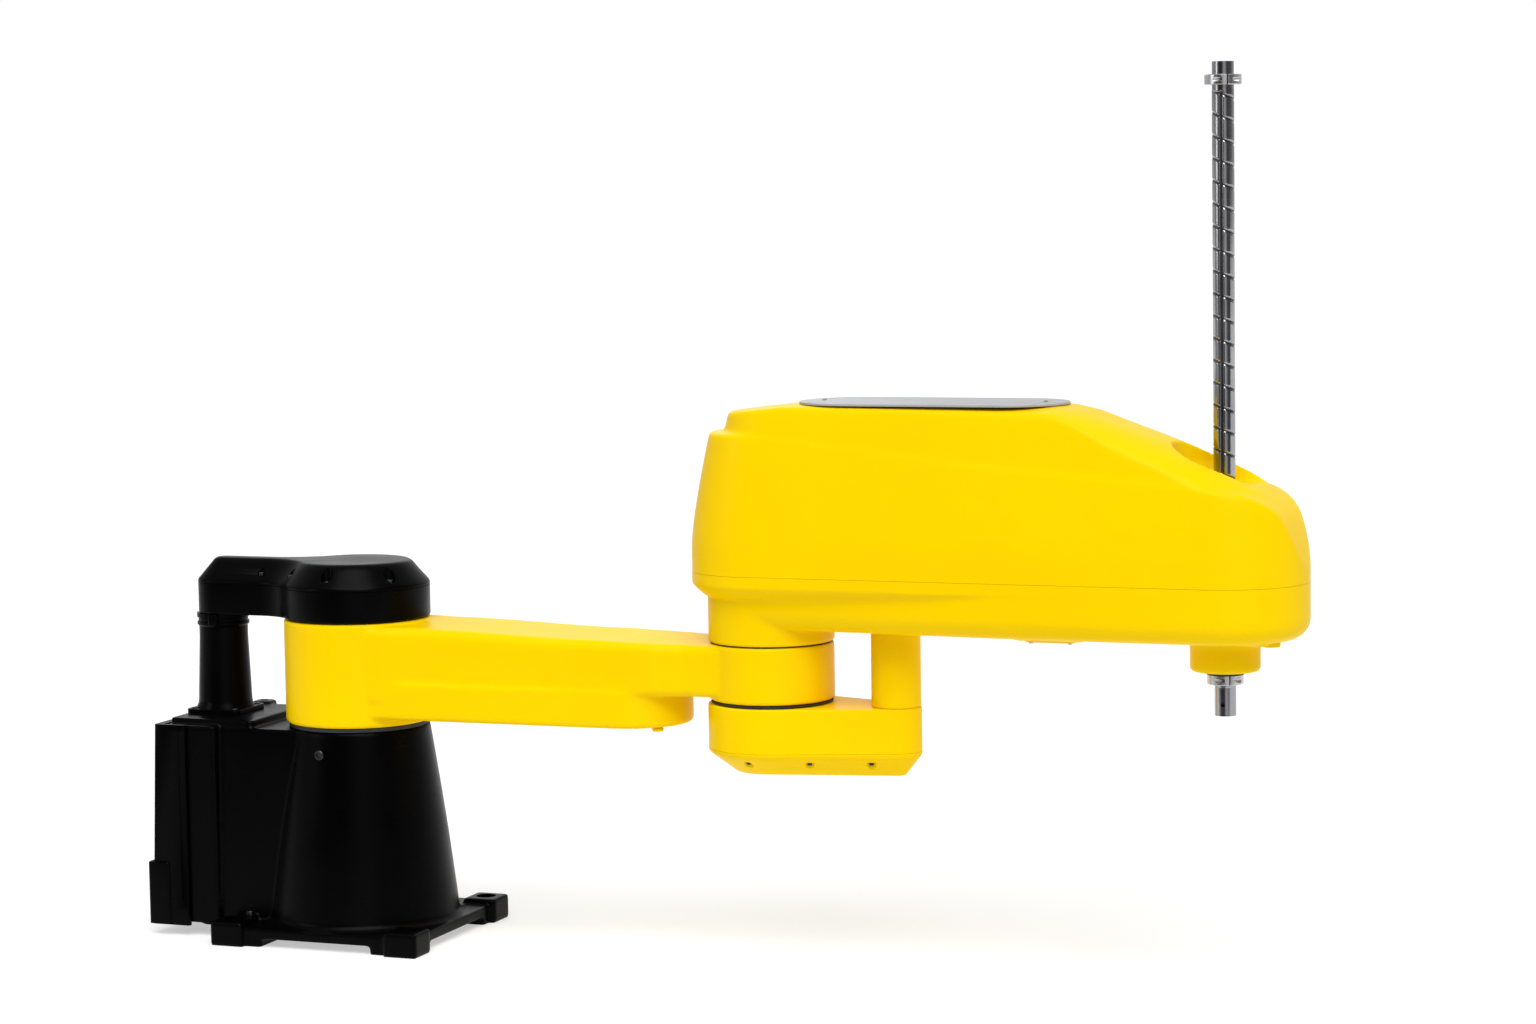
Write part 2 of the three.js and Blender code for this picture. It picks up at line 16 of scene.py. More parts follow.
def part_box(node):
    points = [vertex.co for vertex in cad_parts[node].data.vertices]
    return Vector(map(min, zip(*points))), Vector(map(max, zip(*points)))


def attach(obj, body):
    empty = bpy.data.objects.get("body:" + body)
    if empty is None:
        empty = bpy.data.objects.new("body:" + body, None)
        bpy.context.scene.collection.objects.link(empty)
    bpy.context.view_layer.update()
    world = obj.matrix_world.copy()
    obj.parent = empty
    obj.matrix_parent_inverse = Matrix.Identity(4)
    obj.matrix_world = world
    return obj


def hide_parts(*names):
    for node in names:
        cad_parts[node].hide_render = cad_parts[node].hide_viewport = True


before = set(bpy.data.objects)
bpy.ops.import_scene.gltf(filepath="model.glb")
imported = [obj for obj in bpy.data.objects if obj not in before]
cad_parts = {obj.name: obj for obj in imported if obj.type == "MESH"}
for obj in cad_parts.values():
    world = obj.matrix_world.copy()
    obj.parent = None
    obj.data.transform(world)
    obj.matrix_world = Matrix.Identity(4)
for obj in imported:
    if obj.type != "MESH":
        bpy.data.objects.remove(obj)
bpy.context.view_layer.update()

MM = 0.001


# ------------------------------------------------------------------ places taken from the frame
def low(node, axis):
    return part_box(node)[0]["xyz".index(axis)] / MM


def high(node, axis):
    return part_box(node)[1]["xyz".index(axis)] / MM


def middle(node, axis):
    return (low(node, axis) + high(node, axis)) / 2


J2 = middle("j2_motor", "x")
J3 = middle("quill_shaft", "x")
POST_1 = middle("duct_post", "x")
POST_2 = middle("elbow_duct_post", "x")
HUB_1_R = high("duct_cover", "y")
HUB_1_LOW = low("link1_casting", "z")
HUB_1_HIGH = high("link1_casting", "z")
ELBOW_LOW, ELBOW_SEAM, ELBOW_HIGH = (
    low("elbow_duct_cover", "z"), low("elbow_duct_housing", "z"), high("elbow_duct_housing", "z"))
CAP_LOW, CAP_SEAM, CAP_HIGH = low("duct_housing", "z"), high("duct_housing", "z"), high("duct_cover", "z")
SEAM_2 = high("arm2_casting", "z")
CROWN = low("top_plate", "z") - 0.3
REAR_R = J2 - low("arm2_casting", "x")
FRONT_R = high("arm2_casting", "x") - J3
BOSS_LOW = high("boss_seal", "z") + 0.3
FLOOR_2 = high("access_cover", "z") + 0.3
SEAT = low("duct_post", "z") - 0.3


# ------------------------------------------------------------------ mesh helpers
def new_object(name, verts, faces):
    mesh = bpy.data.meshes.new(name)
    mesh.from_pydata([[c * MM for c in v] for v in verts], [], faces)
    obj = bpy.data.objects.new(name, mesh)
    bpy.context.scene.collection.objects.link(obj)
    bm = bmesh.new()
    bm.from_mesh(mesh)
    bmesh.ops.recalc_face_normals(bm, faces=bm.faces)
    bm.to_mesh(mesh)
    bm.free()
    return obj


def bake(obj):
    """Turns the object's modifiers into its mesh."""
    graph = bpy.context.evaluated_depsgraph_get()
    mesh = bpy.data.meshes.new_from_object(obj.evaluated_get(graph))
    obj.modifiers.clear()
    obj.data = mesh
    return obj


def join(first, *others):
    """Puts the meshes of several objects in the first, overlaps and all."""
    bm = bmesh.new()
    for obj in (first, *others):
        bm.from_mesh(obj.data)
    bm.to_mesh(first.data)
    bm.free()
    for obj in others:
        bpy.data.objects.remove(obj)
    return first


def boolean(obj, tools, operation="DIFFERENCE"):
    for tool in tools:
        step = obj.modifiers.new("boolean", "BOOLEAN")
        step.operation = operation
        step.solver = "EXACT"
        step.object = tool
    bake(obj)
    for tool in tools:
        bpy.data.objects.remove(tool)
    return obj


def remesh(obj, voxel, smoothing):
    step = obj.modifiers.new("remesh", "REMESH")
    step.mode = "VOXEL"
    step.voxel_size = voxel * MM
    bake(obj)
    step = obj.modifiers.new("smooth", "SMOOTH")
    step.factor = 0.5
    step.iterations = smoothing
    return bake(obj)


def bevel(obj, width, segments=2, angle=35):
    step = obj.modifiers.new("bevel", "BEVEL")
    step.width = width * MM
    step.segments = segments
    step.limit_method = "ANGLE"
    step.angle_limit = math.radians(angle)
    return bake(obj)


def slice_off(obj, height, keep_above):
    """Cuts the mesh at a height and leaves it open there."""
    bm = bmesh.new()
    bm.from_mesh(obj.data)
    bmesh.ops.bisect_plane(
        bm, geom=bm.verts[:] + bm.edges[:] + bm.faces[:], plane_co=(0, 0, height * MM), plane_no=(0, 0, 1),
        clear_inner=keep_above, clear_outer=not keep_above)
    bm.to_mesh(obj.data)
    bm.free()
    return obj


def thicken(obj, wall):
    step = obj.modifiers.new("wall", "SOLIDIFY")
    step.thickness = wall * MM
    step.offset = -1
    return bake(obj)


def piece(obj, name, material, body, replaces=(), sharp=35):
    """Names a finished mesh, gives it its material and body, and hides the CAD nodes it stands for."""
    obj.name = name
    obj.data.name = name
    obj.data.materials.clear()
    obj.data.materials.append(material)
    for polygon in obj.data.polygons:
        polygon.use_smooth = True
    obj.data.set_sharp_from_angle(angle=math.radians(sharp))
    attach(obj, body)
    if replaces:
        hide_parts(*replaces)
    return obj


# ------------------------------------------------------------------ outlines, as lists of (x, y)
def arc(cx, cy, r, start, end, steps):
    return [(cx + r * math.cos(a), cy + r * math.sin(a))
            for a in (start + (end - start) * i / steps for i in range(steps + 1))]


def circle(cx, cy, r, steps=72):
    return arc(cx, cy, r, 0, 2 * math.pi, steps)[:-1]


def capsule(xa, ra, xb, rb, steps=48):
    tangent = math.acos((ra - rb) / (xb - xa))
    return (arc(xb, 0, rb, -tangent, tangent, steps)
            + arc(xa, 0, ra, tangent, 2 * math.pi - tangent, steps))


def keyhole(head, tail, tail_x, blend):
    """A round head at the origin and a round-ended tail on -X, with hollow blends between."""
    cy = tail + blend
    cx = -math.sqrt((head + blend) ** 2 - cy ** 2)
    turn = math.atan2(cy, cx)
    return (arc(0, 0, head, -turn, turn, 72)
            + arc(cx, cy, blend, turn - math.pi, -math.pi / 2, 16)[1:]
            + arc(tail_x, 0, tail, math.pi / 2, 1.5 * math.pi, 32)
            + arc(cx, -cy, blend, math.pi / 2, math.pi - turn, 16)[:-1])


def rounded_box(x0, x1, y0, y1, r, steps=6):
    corners = [(x1 - r, y0 + r, -0.5), (x1 - r, y1 - r, 0), (x0 + r, y1 - r, 0.5), (x0 + r, y0 + r, 1)]
    return [p for cx, cy, turn in corners
            for p in arc(cx, cy, r, turn * math.pi, (turn + 0.5) * math.pi, steps)]


def flowing(points, steps=8):
    """A smooth line through the points, by Catmull-Rom."""
    ends = [points[0], *points, points[-1]]
    line = []
    for a, b, c, d in zip(ends, ends[1:], ends[2:], ends[3:]):
        for i in range(steps):
            t = i / steps
            line.append(tuple(
                0.5 * (2 * q + (r - p) * t + (2 * p - 5 * q + 4 * r - s) * t ** 2 + (3 * q - p - 3 * r + s) * t ** 3)
                for p, q, r, s in zip(a, b, c, d)))
    return line + [points[-1]]


# ------------------------------------------------------------------ solids
def loft(name, levels):
    """A closed skin through outlines of equal point count, given as (outline, z) from the bottom up."""
    count = len(levels[0][0])
    verts = [(x, y, z) for outline, z in levels for x, y in outline]
    faces = [list(range(count))[::-1], [len(verts) - count + i for i in range(count)]]
    for level in range(len(levels) - 1):
        base = level * count
        for i in range(count):
            j = (i + 1) % count
            faces.append([base + i, base + j, base + count + j, base + count + i])
    return new_object(name, verts, faces)


def prism(name, outline, z0, z1):
    return loft(name, [(outline, z0), (outline, z1)])


def block(name, outline_at, z0, z1, r_low=0.0, r_high=0.0, steps=6):
    """A prism whose outline is outline_at(inset), with its lower and upper edges rounded."""
    levels = []
    for i in range(steps + 1 if r_low else 1):
        a = math.pi / 2 * i / steps
        levels.append((outline_at(r_low * (1 - math.sin(a))), z0 + r_low * (1 - math.cos(a))))
    for i in range(steps + 1 if r_high else 1):
        a = math.pi / 2 * i / steps
        levels.append((outline_at(r_high * (1 - math.cos(a))), z1 - r_high * (1 - math.sin(a))))
    return loft(name, levels)


def slab(name, profile, half, sag=None, stations=24):
    """A side view outline of (x, z) points, extruded across Y; sag(x, y) is its drop off the centre line."""
    count = len(profile)
    ys = [-half + 2 * half * i / stations for i in range(stations + 1)] if sag else [-half, half]
    verts = [(x, y, z - (sag(x, y) if sag else 0)) for y in ys for x, z in profile]
    last = (len(ys) - 1) * count
    faces = [list(range(count)), list(range(last, last + count))[::-1]]
    for base in range(0, last, count):
        faces += [[base + i, base + (i + 1) % count, base + count + (i + 1) % count, base + count + i]
                  for i in range(count)]
    return new_object(name, verts, faces)


def turned(name, profile, steps=72):
    """A closed [radius, height] profile turned round the Z axis; radius 0 closes on the axis."""
    verts, rings = [], []
    for r, z in profile:
        if r <= 1e-6:
            rings.append([len(verts)] * steps)
            verts.append((0, 0, z))
        else:
            rings.append(list(range(len(verts), len(verts) + steps)))
            verts += [(x, y, z) for x, y in circle(0, 0, r, steps)]
    faces = []
    closed = profile[0][0] > 1e-6
    for a, b in zip(rings, rings[1:] + rings[:1] if closed else rings[1:]):
        for i in range(steps):
            j = (i + 1) % steps
            face = list(dict.fromkeys([a[i], a[j], b[j], b[i]]))
            if len(face) > 2:
                faces.append(face)
    return new_object(name, verts, faces)


def place(obj, x=0.0, y=0.0, z=0.0, turn=None):
    matrix = Matrix.Translation((x * MM, y * MM, z * MM))
    if turn:
        angle, axis = turn
        matrix = matrix @ Matrix.Rotation(math.radians(angle), 4, axis)
    obj.data.transform(matrix)
    return obj


def cylinder(name, x, y, r, z0, z1, steps=48):
    return prism(name, circle(x, y, r, steps), z0, z1)


def cuboid(name, x0, x1, y0, y1, z0, z1, r=2.0):
    return prism(name, rounded_box(x0, x1, y0, y1, r), z0, z1)


def beam(name, stations, step=6.0, corner=10):
    """A bar along X through stations of (x, half width, bottom, top, lower radius, upper radius)."""
    xs = [s[0] for s in stations]
    count = max(2, int((xs[-1] - xs[0]) / step))
    verts, rings = [], []
    for i in range(count + 1):
        x = xs[0] + (xs[-1] - xs[0]) * i / count
        k = max(j for j in range(len(xs) - 1) if xs[j] <= x + 1e-9)
        t = (x - xs[k]) / (xs[k + 1] - xs[k])
        t = t * t * (3 - 2 * t)
        half, bottom, top, r_low, r_high = (
            a + (b - a) * t for a, b in zip(stations[k][1:], stations[k + 1][1:]))
        section = []
        for cy, cz, r, turn in [(half - r_low, bottom + r_low, r_low, -0.5),
                                (half - r_high, top - r_high, r_high, 0),
                                (r_high - half, top - r_high, r_high, 0.5),
                                (r_low - half, bottom + r_low, r_low, 1)]:
            section += arc(cy, cz, r, turn * math.pi, (turn + 0.5) * math.pi, corner)
        rings.append(list(range(len(verts), len(verts) + len(section))))
        verts += [(x, y, z) for y, z in section]
    faces = [rings[0][::-1], rings[-1]]
    for a, b in zip(rings, rings[1:]):
        faces += [[a[i], a[(i + 1) % len(a)], b[(i + 1) % len(a)], b[i]] for i in range(len(a))]
    return new_object(name, verts, faces)


# ------------------------------------------------------------------ materials
class Nodes:
    """Small builder for a node material."""

    def __init__(self, name):
        self.material = bpy.data.materials.new(name)
        self.material.use_nodes = True
        self.tree = self.material.node_tree
        self.shader = self.tree.nodes["Principled BSDF"]
        self.place = self.add("ShaderNodeTexCoord").outputs["Object"]

    def add(self, kind, **values):
        node = self.tree.nodes.new(kind)
        for key, value in values.items():
            if key in node.inputs:
                node.inputs[key].default_value = value
            else:
                setattr(node, key, value)
        return node

    def link(self, a, b):
        self.tree.links.new(a, b)

    def noise(self, scale, detail=3.0, stretch=None, roughness=0.5):
        node = self.add("ShaderNodeTexNoise", Scale=scale, Detail=detail, Roughness=roughness)
        source = self.place
        if stretch:
            mapping = self.add("ShaderNodeMapping")
            mapping.inputs["Scale"].default_value = stretch
            self.link(source, mapping.inputs["Vector"])
            source = mapping.outputs["Vector"]
        self.link(source, node.inputs["Vector"])
        return node.outputs["Fac"]

    def ramp(self, source, stops):
        node = self.add("ShaderNodeValToRGB")
        ramp = node.color_ramp
        while len(ramp.elements) < len(stops):
            ramp.elements.new(0.5)
        for element, (at, colour) in zip(ramp.elements, stops):
            element.position = at
            element.color = (*colour, 1) if len(colour) == 3 else (colour[0],) * 3 + (1,)
        self.link(source, node.inputs["Fac"])
        return node.outputs["Color"]

    def mix(self, factor, a, b):
        node = self.add("ShaderNodeMix", data_type="RGBA")
        self.link(factor, node.inputs["Factor"])
        for socket, value in ((node.inputs[6], a), (node.inputs[7], b)):
            if isinstance(value, tuple):
                socket.default_value = (*value, 1)
            else:
                self.link(value, socket)
        return node.outputs[2]

    def bump(self, source, strength, distance, onto=None):
        node = self.add("ShaderNodeBump", Strength=strength, Distance=distance)
        self.link(source, node.inputs["Height"])
        if onto:
            self.link(onto, node.inputs["Normal"])
        return node.outputs["Normal"]

    def set(self, **values):
        for key, value in values.items():
            self.shader.inputs[key.replace("_", " ")].default_value = value


def paint(name, colour, faded, roughness, peel, grain, worn_and_highlight_colour=None, coat=0.25, specular=0.5):
    """Sprayed paint: uneven tone, orange peel and, on dense meshes, edges made a little lighter, partly as rubbed
    wear and partly as a painted highlight.
    """
    n = Nodes(name)
    tone = n.ramp(n.noise(5.0, 4.0), [(0.35, colour), (0.72, faded)])
    if worn_and_highlight_colour:
        # Convex edges get a lighter colour: partly rubbed wear, partly a painted highlight along the edges.
        edges = n.ramp(n.add("ShaderNodeNewGeometry").outputs["Pointiness"], [(0.53, (0.0,)), (0.62, (1.0,))])
        edge_patches = n.ramp(n.noise(70.0, 5.0), [(0.52, (0.0,)), (0.75, (0.55,))])
        rubbed_and_highlit_edges = n.add("ShaderNodeMath", operation="MULTIPLY")
        n.link(edges, rubbed_and_highlit_edges.inputs[0])
        n.link(edge_patches, rubbed_and_highlit_edges.inputs[1])
        tone = n.mix(rubbed_and_highlit_edges.outputs["Value"], tone, worn_and_highlight_colour)
    n.link(tone, n.shader.inputs["Base Color"])
    n.link(n.ramp(n.noise(18.0, 4.0), [(0.3, (roughness,)), (0.75, (roughness + 0.1,))]),
           n.shader.inputs["Roughness"])
    soft = n.bump(n.noise(grain, 2.0), peel, 0.0004)
    n.link(n.bump(n.noise(14.0, 2.0), peel * 0.5, 0.0012, soft), n.shader.inputs["Normal"])
    n.set(Coat_Weight=coat, Coat_Roughness=0.15, IOR=1.5, Specular_IOR_Level=specular)
    return n.material


def metal(name, colour, dark, roughness, stretch, strength=0.08, anisotropic=0.0):
    """Machined metal with fine tool marks along one direction and a faint uneven tone."""
    n = Nodes(name)
    lines = n.noise(60.0, 4.0, stretch)
    tone = n.ramp(n.noise(22.0, 3.0), [(0.3, dark), (0.7, colour)])
    n.link(tone, n.shader.inputs["Base Color"])
    n.link(n.ramp(lines, [(0.25, (roughness,)), (0.8, (roughness + 0.14,))]), n.shader.inputs["Roughness"])
    n.link(n.bump(lines, strength, 0.0002), n.shader.inputs["Normal"])
    n.set(Metallic=1.0, Anisotropic=anisotropic)
    return n.material


def moulded(name, colour, faded, roughness, grain, strength=0.15):
    """Moulded plastic or rubber with a fine grain."""
    n = Nodes(name)
    n.link(n.ramp(n.noise(30.0, 4.0), [(0.3, colour), (0.75, faded)]), n.shader.inputs["Base Color"])
    n.link(n.ramp(n.noise(90.0, 3.0), [(0.3, (roughness,)), (0.8, (roughness + 0.12,))]),
           n.shader.inputs["Roughness"])
    n.link(n.bump(n.noise(grain, 2.0), strength, 0.0003), n.shader.inputs["Normal"])
    return n.material


YELLOW_TONES = ((0.93, 0.62, 0.0), (0.9, 0.585, 0.0), 0.3, 0.04, 700.0)
# The lighter edge colour passed here is partly rubbed wear, partly a painted edge highlight.
YELLOW = paint("yellow_paint", *YELLOW_TONES, worn_and_highlight_colour=(0.95, 0.66, 0.01), coat=0.0, specular=0.04)
YELLOW_TRIM = paint("yellow_paint_trim", *YELLOW_TONES, coat=0.0, specular=0.04)
BLACK_TONES = ((0.0004, 0.0004, 0.0006), (0.001, 0.001, 0.0013), 0.26, 0.08, 900.0)
# The lighter edge colour passed here is partly rubbed wear, partly a painted edge highlight.
BLACK = paint("black_paint", *BLACK_TONES, worn_and_highlight_colour=(0.008, 0.008, 0.009), coat=0.0, specular=0.045)
BLACK_TRIM = paint("black_paint_trim", *BLACK_TONES, coat=0.0, specular=0.045)
GREY = moulded("grey_panel", (0.35, 0.355, 0.36), (0.4, 0.405, 0.41), 0.35, 1200.0, 0.08)
STEEL = metal("polished_steel", (0.4, 0.4, 0.41), (0.31, 0.31, 0.33), 0.1, (1, 1, 0.05), 0.03)
# Dark steel for the groove floors: partly oil, partly painted shade in the grooves.
GROOVE_STEEL_OILED_AND_SHADED = metal("groove_steel_oiled_and_shaded", (0.1, 0.1, 0.1), (0.06, 0.06, 0.06), 0.25, (1, 1, 0.05), 0.03)
BRIGHT = metal("bright_steel", (0.62, 0.62, 0.63), (0.5, 0.5, 0.52), 0.2, (1, 1, 6))
DARK_STEEL = metal("dark_steel", (0.07, 0.07, 0.075), (0.045, 0.045, 0.05), 0.3, (3, 3, 3))
ALUMINIUM = metal("cast_aluminium", (0.6, 0.6, 0.62), (0.5, 0.5, 0.52), 0.34, (2, 2, 2), 0.2)
RUBBER = moulded("rubber", (0.012, 0.012, 0.012), (0.022, 0.021, 0.02), 0.6, 1500.0, 0.25)
MOTOR_BLACK = paint("motor_black", (0.02, 0.02, 0.023), (0.03, 0.03, 0.034), 0.42, 0.14, 1100.0, coat=0.0)


# ------------------------------------------------------------------ fasteners
def socket_screw(name, x, y, z, r, body, material, replaces=(), up=1, face=None, height=None):
    """A socket head screw standing on a face; up is -1 under a face, and face is a turn onto a side."""
    height = height or 1.1 * r
    edge = 0.15 * r
    head = turned(name, [(0, 0), (r, 0), (r, height - edge), (r - edge, height), (0, height)], 40)
    key = prism("key", circle(0, 0, 0.55 * r, 6), 0.45 * height, height + 1)
    boolean(head, [key])
    if up < 0:
        place(head, turn=(180, "X"))
    if face:
        place(head, turn=face)
    place(head, x, y, z)
    return piece(head, name, material, body, replaces, sharp=30)


# ------------------------------------------------------------------ base
TOWER_FOOT = (118.5, 28)
TOWER_TOP = (87, 262)
TOWER_SWELL = 1.4


def tower_side(steps=16):
    """Radius and height up the tower: a straight taper that swells slightly on the way."""
    (r_0, z_0), (r_1, z_1) = TOWER_FOOT, TOWER_TOP
    return [(r_0 + (r_1 - r_0) * t + TOWER_SWELL * math.sin(math.pi * t), z_0 + (z_1 - z_0) * t)
            for t in (i / steps for i in range(steps + 1))]
EAR = 44
EAR_TOP = 30
PLATE_TOP = 23
PLATE_LOW = 10
PROUD = 8


def base_casting():
    x0, x1 = -145, high("base_casting", "x")
    half = high("base_casting", "y")
    rear = low("base_casting", "x")
    solids = [cuboid("plate", x0 + PROUD, x1 - PROUD, -half + PROUD, half - PROUD, PLATE_LOW, PLATE_TOP, 4)]
    holes = []
    for side in (-1, 1):
        for outer, inward in ((x0, 1), (x1, -1)):
            xs = sorted((outer, outer + inward * EAR))
            ys = sorted((side * half, side * (half - EAR)))
            solids.append(block("ear", lambda i: rounded_box(xs[0] + i, xs[1] - i, ys[0] + i, ys[1] - i, 3),
                                0,
                                EAR_TOP, 0, 2.5))
            leg_x = sorted((outer + inward * PROUD, outer + inward * 66))
            leg_y = sorted((side * (half - PROUD), side * (half - 60)))
            solids.append(cuboid("leg", *leg_x, *leg_y, 0, PLATE_TOP - 2, 3))
            hole_x, hole_y = outer + inward * EAR / 2, side * (half - EAR / 2)
            holes.append(cylinder("hole", hole_x, hole_y, 7, -2, 40))
            holes.append(cylinder("hole", hole_x, hole_y, 12.5, EAR_TOP - 3, 40))
    top = TOWER_TOP[1]
    tower = [(0, 12), (127, 12), (127, PLATE_TOP - 1), (122, PLATE_TOP + 2), *tower_side(), (0, top)]
    solids.append(turned("tower", tower, 120))
    box_half = 74
    solids.append(loft("box", [
        (rounded_box(rear, -20, -box_half - 7, box_half + 7, 8), 16),
        (rounded_box(rear, -20, -box_half, box_half, 8), top)]))
    solids.append(block("seat", lambda i: rounded_box(rear + i, -112 - i, -72 + i, 72 - i, 5), top - 20, SEAT,
                        0, 2))
    solids.append(block("flange", lambda i: rounded_box(rear + i, -158 - i, -86 + i, 86 - i, 4), 16, 264, 0,
                        2))
    solids.append(block("step", lambda i: rounded_box(-181 + i, -157 - i, -86 + i, -60 - i, 3), 14, 45, 0, 2))
    solids.append(block("pad", lambda i: rounded_box(-186 + i, -160 - i, 58 + i, 84 - i, 6), 255, 275, 0, 2))
    solids.append(turned("boss", [(0, 10), (9, 10), (8, 31), (0, 31)], 32))
    place(solids[-1], -113, -88)
    solids.append(cylinder("centre_pad", 0, 0, 50, 0, 14))
    casting = remesh(join(*solids), 2.2, 5)
    boolean(casting, [
        cylinder("bore", 0, 0, 74, 60, 300, 96),
        cuboid("cavity", rear - 5, -60, -62, 62, 40, 250, 6),
        cylinder("duct", POST_1, 0, 22, 240, 300),
        cylinder("pad_hole", -173, 71, 5, 262, 280),
        *holes,
    ])
    piece(casting, "base_casting_body", BLACK, "base", ["base_casting"])
    ledge = turned("tower_rim", [(75, 258.5), (84.5, 258.5), (84.5, 261.7), (75, 261.7)], 96)
    piece(ledge, "tower_rim", DARK_STEEL, "base")


def connector_covers():
    rear, front = low("connector_cover", "x"), high("connector_cover", "x")
    bottom, top = low("connector_cover", "z"), high("connector_cover", "z")
    half = high("connector_cover", "y")
    shell = loft("connector_cover_shell", [
        (rounded_box(rear + 1, front, -half, half, 3), bottom),
        (rounded_box(rear + 11, front, -half, half, 3), top)])
    inside = cuboid("inside", -228.3, front + 5, -86.3, 86.3, bottom - 5, top + 5)
    lip = cuboid("lip", -206, front + 5, -half - 5, half + 5, bottom + 30, top - 12)
    lip_core = cuboid("lip_core", -210, front + 6, -half + 1.2, half - 1.2, bottom, top + 5)
    boolean(lip, [lip_core])
    boolean(shell, [inside, lip])
    bevel(shell, 1.2)
    pad = block("pad", lambda i: rounded_box(rear + i / 2, rear + 16, -62 + i, 62 - i, 3), 128, 236)
    bevel(pad, 1.5)
    join(shell, pad)
    piece(shell, "connector_cover_shell", BLACK_TRIM, "base", ["connector_cover"])
    for i, (y, z) in enumerate([(-78, 30 + 75), (78, 105), (-78, 250), (78, 250), (-55, 118), (55, 118),
                                (-55, 246), (55, 246)]):
        slant = (z - bottom) / (top - bottom) * 10
        socket_screw(f"rear_screw_{i + 1}", rear + 1.5 + slant, y, z, 3.2, "base", DARK_STEEL,
                     face=(-90, "Y"), height=2.6)

    rear, front = low("lower_connector_cover", "x"), high("lower_connector_cover", "x")
    bottom, top = low("lower_connector_cover", "z"), high("lower_connector_cover", "z")
    half = high("lower_connector_cover", "y")
    lower = block("lower", lambda i: rounded_box(rear + i, front, -half + i, half - i, 5), bottom, top, 0, 2)
    boolean(lower, [cuboid("inside", rear + 4, front + 5, -half + 2.7, half - 2.7, bottom - 5, top + 5)])
    bevel(lower, 0.8)
    piece(lower, "lower_connector_shell", BLACK_TRIM, "base", ["lower_connector_cover"])
    for i, (y, z) in enumerate([(-70, 30), (70, 30), (-70, 80), (70, 80)]):
        socket_screw(f"lower_screw_{i + 1}", rear - 0.2 + 0.5, y, z, 3, "base", DARK_STEEL,
                     face=(-90, "Y"), height=2.4)


def connectors():
    for node in ("power_connector", "encoder_connector"):
        r = (high(node, "y") - low(node, "y")) / 2 - 3
        plug = turned(node, [
            (0, 0), (r + 3, 0), (r + 3, 3.4), (r + 2.4, 4), (r, 4), (r, 11.4), (r - 0.6, 12), (r - 3, 12),
            (r - 3.4, 11.4), (r - 3.4, 5), (0, 5)], 64)
        ribs = [turned("rib", [(r - 0.2, z), (r + 0.5, z + 0.4), (r - 0.2, z + 0.8)], 64) for z in (5.5, 7,
                                                                                                    8.5, 10)]
        pins = []
        for ring_r, count in ((r * 0.25, 3), (r * 0.55, 8)):
            for i in range(count):
                a = 2 * math.pi * i / count
                pins.append(cylinder("pin", ring_r * math.cos(a), ring_r * math.sin(a), 0.9, 4.8, 10.5, 12))
        join(plug, *ribs, *pins)
        place(plug, turn=(-90, "Y"))
        place(plug, high(node, "x"), middle(node, "y"), middle(node, "z"))
        piece(plug, node + "_socket", DARK_STEEL, "base", [node])
    node = "air_port_block"
    x, y, z = high(node, "x"), middle(node, "y"), middle(node, "z")
    body = block("body", lambda i: rounded_box(-11 + i, 11 - i, -30 + i, 30 - i, 3), 0, 9, 0, 1.2)
    ports = [place(turned("port",
                          [(0, 8.5), (6, 8.5), (6, 12), (5, 12.5), (5, 14.5), (6, 15), (6, 17.3), (5.3, 18),
                                   (3.6, 18), (3.4, 11), (0, 11)], 40), 0, side * 14) for side in (-1, 1)]
    screws = [place(turned("screw", [(0, 8.8), (2.4, 8.8), (2.4, 10.4), (1.6, 11), (0, 11)], 24), 0,
                    side * 25)
              for side in (-1, 0, 1)]
    join(body, *ports, *screws)
    place(body, turn=(-90, "Y"))
    place(body, x, y, z)
    piece(body, "air_ports", ALUMINIUM, "base", [node])


def duct_post():
    base_z, top_z = low("duct_post", "z"), high("duct_post", "z")
    foot = block("foot", lambda i: rounded_box(POST_1 - 37 + i, POST_1 + 37 - i, -37 + i, 37 - i, 8), base_z,
                 base_z + 5.7, 0, 1)
    tube = turned("tube", [
        (22, base_z + 1), (36.5, base_z + 1), (36, base_z + 7), (34, base_z + 11), (33.4, base_z + 16),
        (30.3, 366),
        (30.3, 369), (30.3, 380), (32.5, 382.5), (32.5, 385.5), (31, 386.5), (31, 390.5), (32.8, 391.5),
        (32.8, top_z), (22, top_z)], 96)
    place(tube, POST_1)
    lug = place(block("lug", lambda i: rounded_box(-6 + i, 6 - i, -36.5 + i, -28, 2), 383, 396, 1, 1),
                POST_1 + 4)
    join(tube, foot, lug)
    piece(tube, "duct_post_tube", BLACK_TRIM, "base", ["duct_post"])
    for i, (dx, dy) in enumerate([(-28, -28), (28, -28), (28, 28), (-28, 28)]):
        socket_screw(f"post_screw_{i + 1}", POST_1 + dx, dy, base_z + 5.9, 4.4, "base",
                     DARK_STEEL,
                     height=1.2)


def cap_outline(inset):
    return keyhole(HUB_1_R - inset, CAP_TAIL_R - inset, low("duct_housing", "x") + CAP_TAIL_R, 60 + inset)


CAP_TAIL_R = 34.5
CAP_SCREWS = [(0, -77), (67, -42), (67, 42), (0, 77)]
CAP_DIMPLES = [(-66, -46), (-118, -26), (-66, 46), (-118, 26)]


